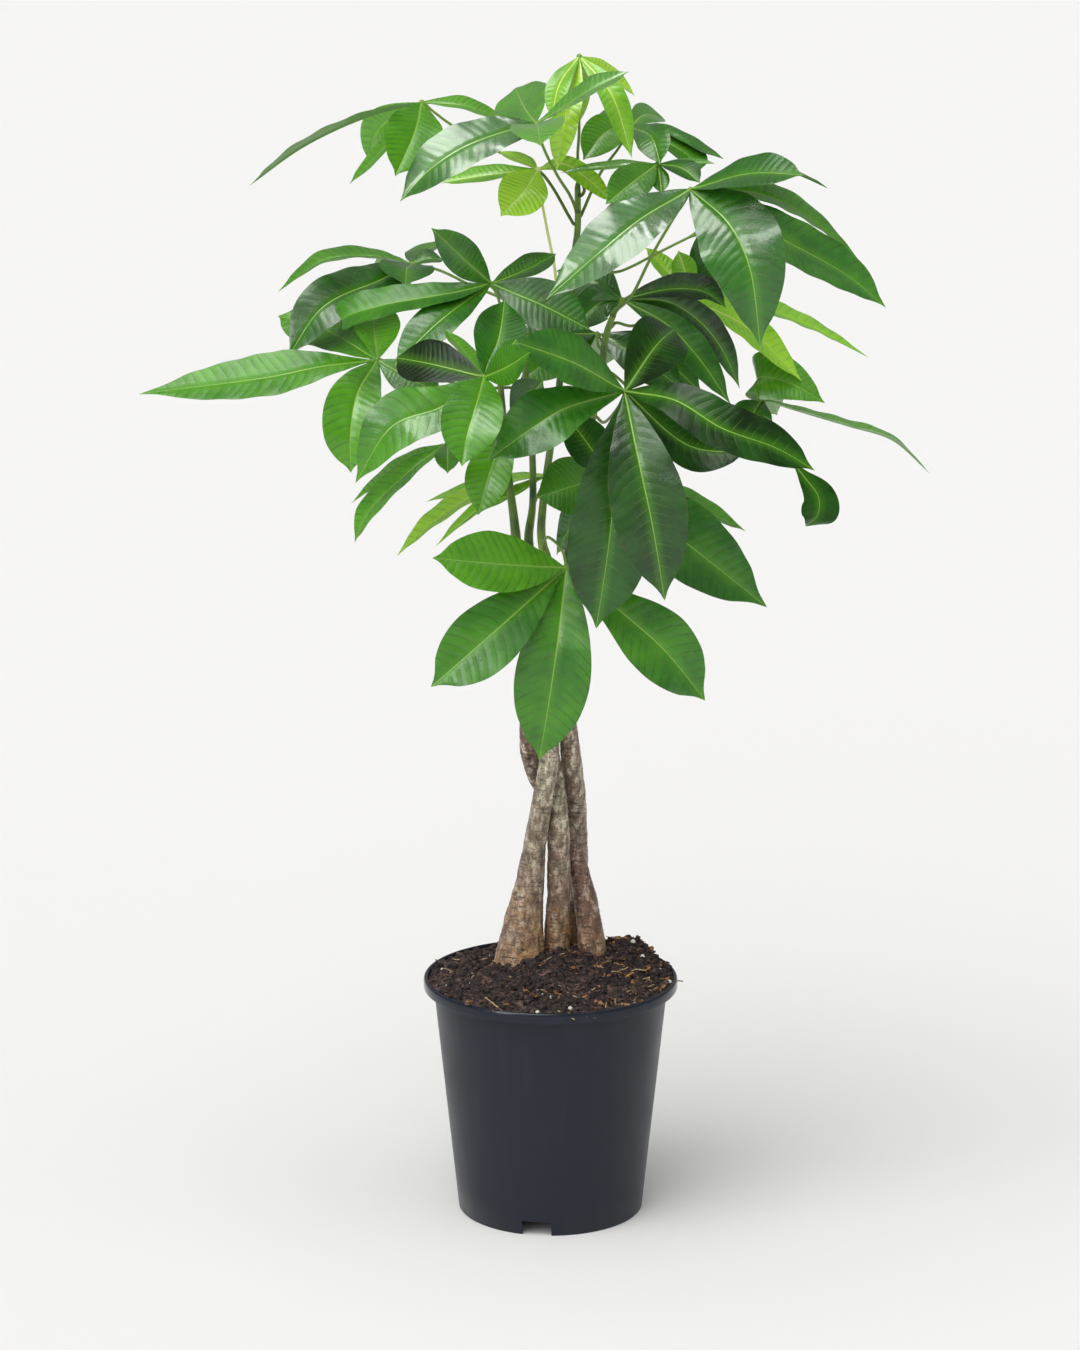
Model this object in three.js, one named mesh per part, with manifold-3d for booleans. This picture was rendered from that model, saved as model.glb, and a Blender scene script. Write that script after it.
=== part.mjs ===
import * as THREE from "three";
import { mergeVertices } from "three/addons/utils/BufferGeometryUtils.js";
import Module from "manifold-3d";

// A potted money tree with four braided trunks, in millimetres. The origin is the middle of the
// pot's flat base, +Z is up, +X is to the right and the viewer stands towards -Y.

// Pot: a common 200 mm nursery pot. Its wall steps out into a collar at the rim, and its floor stands
// on a skirt with drainage notches and on a flat middle disc
const rimRadius = 100;
const rimInner = 96.6;
const rimHeight = 190;
const rimDrop = 8.5;
const bodyTopRadius = 93;
const bodyFootRadius = 73;
const wall = 1.6;
const skirtThick = 2.4;
const floorRise = 12;
const discRadius = { foot: 26, top: 31 };
const notchCount = 3;
const notchWide = 23;
const notchTall = 11.5;
const notchDeep = 12;
const potSides = 40;

// Soil: mounded over the roots, a little higher at the back right
const gap = 0.35;
const soilEdge = 187;
const mound = { across: 5, back: 17, rise: 19, spread: 50 };
const sideMound = { across: 64, back: 44, rise: 14, spread: 27 };

// Trunks and leaves
const trunkSides = 9;
const petioleSides = 5;
const petioleRadius = { foot: 1.7, hub: 1.25 };
const hubRadius = 3.6;
const bladeThick = 0.7;
const bladeRootThick = 2.2;
const bladeRootHalf = 1.3;
const bladeFold = 0.17;
const bladeStations = [0, 0.13, 0.33, 0.56, 0.77, 0.91];
const smallBladeStations = [0, 0.17, 0.44, 0.7, 0.9];
const smallBlade = 42;
const usualPeak = 0.56;

// The plant is laid out as it is seen from the front. A place is [across, up, near]: across and up are
// millimetres in the upright plane through the pot's axis, and near slides the place along the line of
// sight towards the viewer, whose eye is here.
const eye = new THREE.Vector3(-8.3, -2829, 1080);

// Each trunk is one woody shoot that turns green above the braid: [across, up, near, radius]
const trunks = {
  trunk_1: [
    [-23, 150, -17, 14], [-23, 192, -17, 18], [-22, 211, -17, 18], [-21, 235, -15, 15.5], [-16, 267, -11, 11],
    [-12, 298, -6, 8.8], [-6, 335, -1, 7.7], [-1, 365, 0, 7.4], [0, 390, -2, 7.2], [4, 421, -8, 7],
    [12, 452, -16, 6.8], [16, 484, -17, 6.6], [15, 520, -14, 4.8], [15, 558, -14, 3.4], [28, 617, -18, 3],
    [37, 659, -22, 2.8], [42, 697, -26, 2.6], [47, 712, -28, 2.4],
  ],
  trunk_2: [
    [5, 150, -22, 9], [5, 206, -22, 10], [5, 235, -20, 9.5], [7, 267, -16, 8.7], [7, 313, -14, 7.7],
    [4, 338, -18, 7.3], [-1, 373, -20, 7], [-8, 402, -21, 6.8], [-14, 437, -21, 6.6], [-19, 484, -14, 6.2],
    [-26, 523, -10, 4.8], [-27, 543, -8, 3.8], [-33, 595, -4, 2.6], [-36, 632, 0, 2.5], [-39, 670, 2, 2.4],
    [-39, 703, 0, 2.3],
  ],
  trunk_3: [
    [34, 150, -24, 11], [33, 205, -24, 12], [30, 235, -24, 10], [24, 267, -27, 8.6], [14, 298, -32, 8],
    [2, 329, -35, 7.6], [-11, 352, -30, 7.3], [-17, 375, -18, 7], [-17, 402, -6, 7], [-14, 437, 2, 6.8],
    [-4, 460, 4, 6.6], [4, 484, 2, 6.2], [-1, 515, 0, 4.6], [-7, 540, -2, 3.4], [-6, 567, -2, 3],
    [-1, 606, -6, 2.8], [5, 647, -8, 2.7], [11, 701, -10, 2.6], [17, 754, -10, 2.5], [20, 777, -8, 2.5],
    [20, 808, -6, 2.3],
  ],
  trunk_4: [
    [19, 150, -47, 9], [19, 212, -47, 9], [21, 251, -46, 8], [21, 298, -48, 7.3], [21, 329, -40, 7],
    [18, 360, -26, 6.8], [14, 390, -17, 6.6], [7, 421, -25, 6.4], [-1, 452, -29, 6.2], [-8, 478, -28, 6],
    [-14, 512, -25, 4.6], [-17, 540, -23, 3.6], [-14, 566, -22, 2.8], [-14, 602, -24, 2.6], [-17, 647, -28, 2.5],
    [-23, 693, -34, 2.4], [-29, 724, -38, 2.3],
  ],
};

// Each compound leaf: the trunk it leaves and the height of its foot, its stalk's places, its hub, and its
// leaflets. A leaflet has its widest width, its turn about its own midrib in degrees from facing the viewer,
// and the places its midrib passes through on the way to its tip. Where it isn't the usual shape it also has
// its peak, the share of its length at which it is widest, or the share that is bare stalk.
const leaves = [
  { "name": "leaf_right_top", "trunk": "trunk_1", "foot": 708, "stalk": [[61, 727, 12], [78, 761, 45], [101, 800, 82]],
    "hub": [105, 807, 90], "leaflets": [
      { "wide": 46, "turn": 15, "peak": 0.5, "path": [[66, 784, 125], [38, 761, 140], [-4, 724, 140]] },
      { "wide": 60, "turn": 0, "peak": 0.5, "path": [[135, 780, 122], [150, 748, 136], [159, 688, 136]] },
      { "wide": 36, "turn": -52, "path": [[149, 819, 125], [190, 818, 150]] },
      { "wide": 42, "turn": -40, "path": [[138, 790, 70], [176, 769, 62], [223, 743, 58], [254, 718, 60]] },
      { "wide": 32, "turn": -62, "path": [[157, 804, 50], [192, 788, 30], [237, 749, 22]] },
      { "wide": 26, "turn": -76, "path": [[151, 819, 62], [181, 820, 45], [209, 808, 38]] },
    ] },
  { "name": "leaf_right_front", "trunk": "trunk_1", "foot": 628, "stalk": [[40, 630, 20], [50, 640, 70], [55, 650, 115]],
    "hub": [56, 654, 130], "leaflets": [
      { "wide": 42, "turn": 35, "path": [[17, 676, 165], [-27, 692, 190]] },
      { "wide": 46, "turn": 20, "path": [[9, 640, 165], [-14, 626, 176], [-48, 601, 180]] },
      { "wide": 55, "turn": 0, "path": [[67, 601, 160], [78, 550, 168], [88, 491, 162]] },
      { "wide": 60, "turn": 0, "peak": 0.62, "path": [[51, 601, 142], [44, 531, 142], [35, 469, 140]] },
      { "wide": 40, "turn": -32, "peak": 0.52, "path": [[95, 647, 160], [130, 626, 175], [173, 610, 172], [202, 593, 165]] },
      { "wide": 38, "turn": -20, "path": [[106, 612, 124], [151, 607, 128]] },
      { "wide": 44, "turn": 0, "path": [[79, 688, 105], [94, 702, 62]] },
    ] },
  { "name": "leaf_low_front", "trunk": "trunk_3", "foot": 532, "stalk": [[-2, 541, 35], [9, 530, 82]],
    "hub": [12, 517, 105], "leaflets": [
      { "wide": 48, "turn": 22, "path": [[-39, 520, 130], [-91, 525, 140]] },
      { "wide": 50, "turn": 10, "peak": 0.62, "path": [[-39, 471, 138], [-93, 423, 145]] },
      { "wide": 56, "turn": 0, "peak": 0.5, "path": [[5, 456, 128], [-2, 407, 126], [-9, 364, 116]] },
      { "wide": 51, "turn": -10, "peak": 0.62, "path": [[56, 481, 116], [88, 452, 118], [120, 412, 110]] },
    ] },
  { "name": "leaf_left_wide", "trunk": "trunk_4", "foot": 648, "stalk": [[-62, 657, 5], [-99, 669, 25]],
    "hub": [-132, 678, 40], "leaflets": [
      { "wide": 46, "turn": 40, "path": [[-175, 673, 55], [-214, 665, 58], [-314, 652, 45]] },
      { "wide": 44, "turn": 0, "peak": 0.52, "path": [[-148, 650, 80], [-153, 620, 98], [-153, 591, 96]] },
      { "wide": 46, "turn": 35, "path": [[-171, 701, -15], [-207, 712, -43]] },
      { "wide": 30, "turn": -20, "path": [[-107, 664, 60], [-84, 651, 82]] },
      { "wide": 40, "turn": 15, "path": [[-134, 704, -10], [-135, 724, -48]] },
    ] },
  { "name": "leaf_left_mid", "trunk": "trunk_2", "foot": 700, "stalk": [[-39, 722, 40]],
    "hub": [-45, 736, 60], "leaflets": [
      { "wide": 27, "turn": 10, "path": [[-66, 755, 92], [-90, 778, 122]] },
      { "wide": 36, "turn": 52, "path": [[-76, 729, 76], [-131, 719, 80], [-158, 709, 76], [-154, 704, 74]] },
      { "wide": 34, "turn": 34, "path": [[-84, 708, 95], [-119, 674, 112]] },
      { "wide": 28, "turn": -52, "path": [[-16, 748, 42], [4, 759, 30]] },
      { "wide": 40, "turn": -15, "path": [[-7, 720, 72], [30, 701, 80]] },
    ] },
  { "name": "leaf_centre_front", "trunk": "trunk_2", "foot": 634, "stalk": [[-40, 648, 60], [-47, 660, 125]],
    "hub": [-51, 665, 168], "leaflets": [
      { "wide": 38, "turn": 0, "path": [[-40, 693, 152], [-35, 724, 118]] },
      { "wide": 43, "turn": 0, "peak": 0.5, "path": [[-57, 643, 210], [-64, 620, 228], [-68, 596, 236]] },
      { "wide": 44, "turn": 25, "path": [[-84, 642, 198], [-120, 628, 205], [-150, 583, 196]] },
      { "wide": 28, "turn": -20, "path": [[-33, 673, 188], [-16, 684, 208]] },
      { "wide": 38, "turn": 30, "path": [[-91, 675, 150], [-118, 680, 125]] },
      { "wide": 16, "turn": -20, "path": [[-36, 682, 165], [-25, 695, 150]] },
      { "wide": 20, "turn": 58, "path": [[-67, 686, 132], [-80, 701, 108]] },
    ] },
  { "name": "leaf_young_light", "trunk": "trunk_3", "foot": 694, "stalk": [[3, 746, 6], [-3, 777, 12], [-8, 805, 18]],
    "hub": [-10, 822, 20], "leaflets": [
      { "wide": 26, "turn": 62, "path": [[-46, 818, 26], [-83, 812, 22]] },
      { "wide": 18, "turn": 60, "path": [[-23, 829, 2], [-39, 836, -20]] },
      { "wide": 36, "turn": 10, "path": [[-20, 806, 45], [-38, 787, 60]] },
      { "wide": 16, "turn": -20, "path": [[10, 826, 6], [31, 812, 6], [46, 797, 4]] },
    ] },
  { "name": "leaf_top_gloss", "trunk": "trunk_3", "foot": 790, "stalk": [[14, 803, 10], [5, 817, 28], [-6, 839, 44]],
    "hub": [-11, 856, 50], "leaflets": [
      { "wide": 42, "turn": 45, "path": [[-29, 852, 62], [-65, 839, 76], [-91, 822, 82], [-114, 798, 80]] },
      { "wide": 46, "turn": 0, "path": [[-20, 868, 8], [-27, 883, -48]] },
      { "wide": 40, "turn": 0, "path": [[-10, 854, 92], [-8, 840, 125]] },
      { "wide": 30, "turn": -65, "path": [[29, 881, 60], [58, 895, 56]] },
    ] },
  { "name": "leaf_top_left", "trunk": "trunk_3", "foot": 780, "stalk": [[-8, 820, -14], [-37, 834, -22], [-73, 854, -28]],
    "hub": [-97, 872, -30], "leaflets": [
      { "wide": 34, "turn": 96, "path": [[-137, 862, -20], [-187, 839, -14], [-227, 810, -18]] },
      { "wide": 30, "turn": 30, "path": [[-130, 851, -62], [-137, 827, -75]] },
      { "wide": 43, "turn": 0, "path": [[-102, 850, 5], [-117, 817, 30]] },
      { "wide": 28, "turn": -68, "path": [[-64, 869, -36], [-33, 857, -40]] },
      { "wide": 14, "turn": 50, "path": [[-126, 838, -52], [-152, 811, -62]] },
    ] },
  { "name": "leaf_top_bud", "trunk": "trunk_3", "foot": 802, "stalk": [[22, 817, -4], [20, 830, -2], [21, 851, 0], [20, 885, 0]],
    "hub": [21, 906, 0], "leaflets": [
      { "wide": 18, "turn": 25, "path": [[6, 885, 28], [0, 860, 38]] },
      { "wide": 27, "turn": 15, "path": [[12, 868, 34], [4, 821, 38]] },
      { "wide": 26, "turn": -15, "path": [[45, 878, 22], [61, 830, 28]] },
      { "wide": 20, "turn": -62, "path": [[44, 893, -24], [63, 877, -36]] },
      { "wide": 28, "turn": 180, "path": [[16, 882, -42], [12, 846, -62]] },
    ] },
  { "name": "leaf_top_right", "trunk": "trunk_3", "foot": 786, "stalk": [[37, 819, -24], [52, 840, -42]],
    "hub": [59, 854, -50], "leaflets": [
      { "wide": 28, "turn": -74, "path": [[85, 851, -48], [110, 838, -44], [130, 830, -44]] },
      { "wide": 28, "turn": -55, "path": [[82, 845, -36], [108, 828, -28], [112, 821, -26]] },
      { "wide": 26, "turn": -10, "path": [[76, 845, -2], [82, 826, 16]] },
      { "wide": 22, "turn": -38, "path": [[71, 863, -76], [86, 859, -98]] },
      { "wide": 30, "turn": 15, "path": [[41, 850, -34], [24, 829, -20]] },
      { "wide": 22, "turn": 62, "path": [[40, 862, -76], [25, 854, -94]] },
    ] },
  { "name": "leaf_top_small", "trunk": "trunk_3", "foot": 765, "stalk": [[44, 794, -2], [67, 812, 4]],
    "hub": [80, 826, 10], "leaflets": [
      { "wide": 29, "turn": 15, "path": [[62, 813, 36], [41, 796, 56]] },
      { "wide": 16, "turn": 66, "path": [[52, 825, 20], [7, 820, 22]] },
      { "wide": 14, "turn": 0, "path": [[82, 815, 18], [83, 804, 26]] },
      { "wide": 22, "turn": -50, "path": [[98, 823, 30], [112, 812, 42]] },
      { "wide": 14, "turn": -70, "path": [[103, 827, 6], [123, 827, 4]] },
    ] },
  { "name": "leaf_right_inner", "trunk": "trunk_1", "foot": 688, "stalk": [[44, 704, -41], [50, 716, -43]],
    "hub": [54, 724, -40], "leaflets": [
      { "wide": 36, "turn": -55, "path": [[90, 732, -52], [116, 730, -54], [133, 718, -50]] },
      { "wide": 27, "turn": -15, "path": [[88, 705, -30], [111, 681, -22], [137, 644, -14]] },
      { "wide": 27, "turn": -25, "path": [[89, 722, -60], [113, 707, -72], [130, 686, -80], [144, 656, -82]] },
      { "wide": 30, "turn": 15, "path": [[38, 722, -52], [14, 700, -40]] },
      { "wide": 34, "turn": 8, "path": [[32, 738, -62], [4, 746, -78]] },
    ] },
  { "name": "leaf_right_back", "trunk": "trunk_1", "foot": 700, "stalk": [[62, 704, -50], [84, 716, -84]],
    "hub": [105, 724, -112], "leaflets": [
      { "wide": 36, "turn": -50, "path": [[147, 704, -132], [191, 662, -136]] },
      { "wide": 36, "turn": -70, "path": [[139, 724, -158], [189, 707, -180], [242, 680, -190]] },
      { "wide": 36, "turn": 180, "path": [[118, 724, -170], [128, 712, -225]] },
      { "wide": 24, "turn": 50, "path": [[89, 744, -132], [71, 764, -140]] },
      { "wide": 20, "turn": 0, "path": [[101, 746, -108], [96, 761, -104]] },
    ] },
  { "name": "leaf_right_far", "trunk": "trunk_1", "foot": 662, "stalk": [[75, 645, -62], [121, 637, -115]],
    "hub": [161, 648, -150], "leaflets": [
      { "wide": 44, "turn": -28, "peak": 0.45, "path": [[157, 664, -144], [180, 661, -138], [209, 645, -132]] },
      { "wide": 30, "turn": -84, "path": [[183, 641, -160], [227, 628, -170], [261, 617, -172], [290, 591, -168]] },
      { "wide": 34, "turn": 0, "path": [[153, 634, -128], [146, 608, -118]] },
      { "wide": 30, "turn": -10, "bare": 0.42, "path": [[176, 611, -136], [193, 589, -130], [205, 572, -128], [202, 556, -130], [187, 553, -134]] },
      { "wide": 40, "turn": 180, "path": [[168, 652, -200], [172, 636, -248]] },
    ] },
  { "name": "leaf_left_low", "trunk": "trunk_2", "foot": 603, "stalk": [[-54, 609, 28]],
    "hub": [-79, 614, 60], "leaflets": [
      { "wide": 32, "turn": 60, "peak": 0.5, "path": [[-110, 591, 74], [-140, 560, 82], [-151, 537, 84]] },
      { "wide": 28, "turn": 70, "path": [[-115, 596, 46], [-153, 568, 34]] },
      { "wide": 19, "turn": 0, "path": [[-79, 604, 88], [-79, 591, 106]] },
    ] },
  { "name": "leaf_left_thin", "trunk": "trunk_4", "foot": 560, "stalk": [[-8, 578, -40]],
    "hub": [-2, 590, -50], "leaflets": [
      { "wide": 36, "turn": 68, "path": [[-31, 585, -34], [-60, 573, -22], [-93, 551, -14], [-119, 526, -10]] },
      { "wide": 30, "turn": 72, "path": [[-47, 582, -78], [-96, 569, -92]] },
      { "wide": 26, "turn": 68, "path": [[-27, 576, -62], [-55, 563, -60], [-89, 534, -55]] },
      { "wide": 36, "turn": 180, "path": [[18, 583, -104], [30, 562, -150]] },
    ] },
  { "name": "leaf_centre_low", "trunk": "trunk_2", "foot": 620, "stalk": [[-34, 626, 30]],
    "hub": [-30, 632, 52], "leaflets": [
      { "wide": 34, "turn": 10, "path": [[-46, 594, 78], [-56, 558, 84]] },
      { "wide": 32, "turn": -10, "path": [[-17, 648, 66], [-6, 662, 80]] },
    ] },
  { "name": "leaf_under_front", "trunk": "trunk_1", "foot": 590, "stalk": [[34, 598, 12]],
    "hub": [44, 589, 40], "leaflets": [
      { "wide": 45, "turn": 10, "peak": 0.5, "path": [[14, 580, 64], [-11, 572, 76]] },
      { "wide": 28, "turn": 45, "path": [[22, 562, 50], [4, 527, 36]] },
      { "wide": 18, "turn": 20, "path": [[32, 570, 80], [20, 556, 92]] },
      { "wide": 58, "turn": -15, "peak": 0.62, "path": [[68, 565, 62], [106, 535, 72], [167, 486, 66]] },
      { "wide": 32, "turn": -62, "path": [[99, 571, 32], [150, 546, 22]] },
      { "wide": 34, "turn": 15, "path": [[30, 611, 46], [10, 638, 42]] },
    ] },
  { "name": "leaf_left_back", "trunk": "trunk_4", "foot": 716, "stalk": [[-61, 735, -50], [-84, 746, -56]],
    "hub": [-105, 751, -60], "leaflets": [
      { "wide": 34, "turn": 72, "path": [[-133, 757, -54], [-171, 754, -48], [-207, 730, -44]] },
      { "wide": 42, "turn": 30, "path": [[-129, 739, -22], [-173, 718, 10], [-200, 680, 18]] },
      { "wide": 42, "turn": 10, "path": [[-109, 747, -22], [-110, 735, 0]] },
      { "wide": 32, "turn": -62, "path": [[-95, 760, -90], [-84, 769, -120]] },
      { "wide": 34, "turn": 180, "path": [[-120, 744, -108], [-134, 726, -150]] },
      { "wide": 24, "turn": -62, "path": [[-93, 755, -62], [-81, 754, -66]] },
    ] },
  { "name": "leaf_centre_back", "trunk": "trunk_1", "foot": 676, "stalk": [[36, 689, -70]],
    "hub": [35, 698, -92], "leaflets": [
      { "wide": 36, "turn": 45, "path": [[7, 698, -78], [-27, 696, -72]] },
      { "wide": 36, "turn": -20, "path": [[68, 680, -76], [100, 655, -66]] },
      { "wide": 36, "turn": -30, "path": [[83, 680, -104], [115, 653, -106]] },
      { "wide": 40, "turn": 180, "path": [[37, 690, -150], [36, 670, -195]] },
      { "wide": 34, "turn": 10, "path": [[8, 684, -86], [-24, 662, -80]] },
    ] },
  { "name": "leaf_right_hidden", "trunk": "trunk_3", "foot": 728, "stalk": [[37, 743, -30], [54, 746, -56], [84, 761, -84]],
    "hub": [112, 775, -100], "leaflets": [
      { "wide": 34, "turn": 20, "path": [[120, 758, -112], [130, 734, -120]] },
      { "wide": 38, "turn": -40, "path": [[142, 778, -122], [169, 769, -140]] },
      { "wide": 40, "turn": 0, "path": [[122, 792, -150], [132, 796, -195]] },
    ] },
];

const { Manifold, Mesh, setup } = await start();

async function start() {
  const wasm = await Module();
  wasm.setup();
  return wasm;
}

function spot([across, up, near]) {
  const seen = new THREE.Vector3(across, 0, up);
  return seen.lerp(eye, near / -eye.y);
}

// A closed body skinned over rings of equal count, closed by a fan at each end or drawn to a tip
function skin(rings, tip) {
  const count = rings[0].length;
  const places = rings.flat();
  const faces = [];
  for (let row = 0; row + 1 < rings.length; row += 1) {
    for (let i = 0; i < count; i += 1) {
      const a = row * count + i;
      const b = row * count + ((i + 1) % count);
      faces.push(a, b, b + count, a, b + count, a + count);
    }
  }
  for (let i = 1; i + 1 < count; i += 1) faces.push(0, i + 1, i);
  const last = (rings.length - 1) * count;
  if (tip) {
    places.push(tip);
    for (let i = 0; i < count; i += 1) faces.push(last + i, last + ((i + 1) % count), places.length - 1);
  } else {
    for (let i = 1; i + 1 < count; i += 1) faces.push(last, last + i, last + i + 1);
  }
  const geometry = new THREE.BufferGeometry();
  geometry.setAttribute("position", new THREE.Float32BufferAttribute(places.flatMap((p) => p.toArray()), 3));
  geometry.setIndex(faces);
  return geometry;
}

function solid(geometry) {
  const bare = geometry.clone();
  bare.deleteAttribute("uv");
  bare.deleteAttribute("normal");
  const welded = mergeVertices(bare, 1e-4);
  const vertProperties = new Float32Array(welded.attributes.position.array);
  const faces = Array.from(welded.index.array);
  const body = new Manifold(new Mesh({ numProp: 3, vertProperties, triVerts: new Uint32Array(faces) }));
  if (body.volume() > 0) return body;
  return new Manifold(new Mesh({ numProp: 3, vertProperties, triVerts: new Uint32Array(faces.reverse()) }));
}

function surface(body) {
  const mesh = body.getMesh();
  const geometry = new THREE.BufferGeometry();
  geometry.setAttribute("position", new THREE.Float32BufferAttribute(mesh.vertProperties, 3));
  geometry.setIndex(Array.from(mesh.triVerts));
  return geometry;
}

// A round closed tube along a smooth line; radius is a function of the way along, from 0 to 1
function tube(line, radius, sides, steps) {
  const rings = [];
  let out = new THREE.Vector3(1, 0.3, 0.1);
  for (let step = 0; step <= steps; step += 1) {
    const t = step / steps;
    const centre = line.getPoint(t);
    const along = line.getTangent(t);
    out = out.clone().addScaledVector(along, -out.dot(along)).normalize();
    const aside = along.clone().cross(out);
    const ring = [];
    for (let side = 0; side < sides; side += 1) {
      const angle = (side / sides) * 2 * Math.PI;
      const arm = out.clone().multiplyScalar(Math.cos(angle)).addScaledVector(aside, Math.sin(angle));
      ring.push(centre.clone().addScaledVector(arm, radius(t)));
    }
    rings.push(ring);
  }
  return skin(rings);
}

function curveThrough(points) {
  return new THREE.CatmullRomCurve3(points, false, "centripetal");
}

function trunkLine(name) {
  return curveThrough(trunks[name].map(spot));
}

function trunkRadius(name, grow) {
  const radii = trunks[name].map((row) => row[3]);
  return (t) => {
    const place = t * (radii.length - 1);
    const low = Math.min(Math.floor(place), radii.length - 2);
    return THREE.MathUtils.lerp(radii[low], radii[low + 1], place - low) + grow;
  };
}

function trunk(name, grow = 0) {
  return solid(tube(trunkLine(name), trunkRadius(name, grow), trunkSides, trunks[name].length * 2 - 2));
}

// The trunk's middle, direction and radius where it is at a height
function trunkAt(name, height) {
  const line = trunkLine(name);
  let low = 0;
  let high = 1;
  for (let round = 0; round < 30; round += 1) {
    const middle = (low + high) / 2;
    if (line.getPoint(middle).z < height) low = middle;
    else high = middle;
  }
  return { centre: line.getPoint(low), along: line.getTangent(low), radius: trunkRadius(name, 0)(low) };
}

// Half the width of a leaflet at a way along it: widest at its peak, with a drawn-out tip
function halfWidth({ wide, peak = usualPeak, bare = 0 }, along) {
  const t = Math.max(0, (along - bare) / (1 - bare));
  const body = Math.sin(Math.PI * t ** (Math.log(0.5) / Math.log(peak))) ** 0.78;
  const tail = 1 - 0.75 * THREE.MathUtils.smoothstep(t, 0.88, 1);
  return Math.max(bladeRootHalf, (wide / 2) * body * tail);
}

function leaflet(hub, one) {
  const { wide, turn, path } = one;
  const line = curveThrough([hub, ...path.map(spot)]);
  const tip = line.getPoint(1);
  const chord = tip.clone().sub(hub).normalize();
  const sight = eye.clone().sub(line.getPoint(0.5)).normalize();
  const facing = sight.addScaledVector(chord, -sight.dot(chord)).normalize();
  const face = facing.applyAxisAngle(chord, THREE.MathUtils.degToRad(turn));
  const side = chord.clone().cross(face);
  const stations = wide > smallBlade ? bladeStations : smallBladeStations;
  const rings = stations.map((t) => {
    const centre = line.getPoint(t);
    const along = line.getTangent(t);
    const across = side.clone().addScaledVector(along, -side.dot(along)).normalize();
    const up = across.clone().cross(along);
    const half = halfWidth(one, t);
    const root = 1 - THREE.MathUtils.smoothstep(t, 0, 0.12);
    const thick = bladeThick + (bladeRootThick - bladeThick) * root;
    const place = (sideways, lift) =>
      centre.clone().addScaledVector(across, sideways * half).addScaledVector(up, lift);
    const fold = bladeFold * half;
    return [
      place(-1, fold + thick / 2), place(0, thick / 2), place(1, fold + thick / 2),
      place(1, fold - thick / 2), place(0, -thick / 2), place(-1, fold - thick / 2),
    ];
  });
  return solid(skin(rings, tip));
}

function leaf({ name, trunk: from, foot, stalk, hub, leaflets }) {
  const { centre, along, radius } = trunkAt(from, foot);
  const middle = spot(hub);
  const away = spot(stalk[0]).sub(centre);
  away.addScaledVector(along, -away.dot(along)).normalize();
  const start = centre.clone().addScaledVector(away, radius + gap + 0.3);
  const bend = start.clone().addScaledVector(away, 5).addScaledVector(along, 1);
  const line = curveThrough([start, bend, ...stalk.map(spot), middle]);
  const taper = (t) => THREE.MathUtils.lerp(petioleRadius.foot, petioleRadius.hub, t);
  const steps = 3 + stalk.length * 2;
  const pieces = [solid(tube(line, taper, petioleSides, steps))];
  const knob = new THREE.SphereGeometry(hubRadius, 5, 3);
  knob.translate(middle.x, middle.y, middle.z);
  pieces.push(solid(knob));
  for (const one of leaflets) pieces.push(leaflet(middle, one));
  return Manifold.union(pieces);
}

function revolve(outline) {
  const points = outline.map(([r, z]) => new THREE.Vector2(r, z));
  return solid(new THREE.LatheGeometry(points, potSides).rotateX(Math.PI / 2));
}

function bodyRadius(z) {
  return THREE.MathUtils.lerp(bodyFootRadius, bodyTopRadius, z / rimHeight);
}

function pot() {
  const lip = rimHeight - rimDrop;
  const inner = floorRise + wall;
  const outline = [
    [0, 0], [discRadius.foot, 0], [discRadius.top, floorRise], [bodyRadius(floorRise) - skirtThick, floorRise],
    [bodyFootRadius - skirtThick, 0], [bodyFootRadius, 0],
    [bodyRadius(lip), lip], [rimRadius - 0.5, lip], [rimRadius, lip + 0.8],
    [rimRadius, rimHeight - 1.5], [rimRadius - 1, rimHeight - 0.3], [rimRadius - 1.8, rimHeight],
    [rimInner + 0.8, rimHeight], [rimInner, rimHeight - 0.9], [rimInner, lip + wall],
    [bodyRadius(lip) - wall, lip + wall], [bodyRadius(inner) - wall, inner],
    [discRadius.top + 1, inner], [discRadius.foot + 1, wall], [0, wall],
  ];
  const shell = revolve(outline);
  const cutters = [];
  for (let i = 0; i < notchCount; i += 1) {
    const block = new THREE.BoxGeometry(notchWide, notchDeep * 2, notchTall * 2);
    block.translate(0, -(bodyFootRadius + notchDeep) + 8, 0);
    block.rotateZ((i / notchCount) * 2 * Math.PI - 0.15);
    cutters.push(solid(block));
  }
  return shell.subtract(Manifold.union(cutters));
}

function soilTop(x, y) {
  const heap = ({ across, back, rise, spread }) =>
    rise * Math.exp(-((x - across) ** 2 + (y - back) ** 2) / spread ** 2);
  const crumbs = 0.7 * Math.sin(x * 0.21 + y * 0.13) * Math.cos(y * 0.19 - x * 0.07);
  return soilEdge + heap(mound) + heap(sideMound) + crumbs;
}

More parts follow.
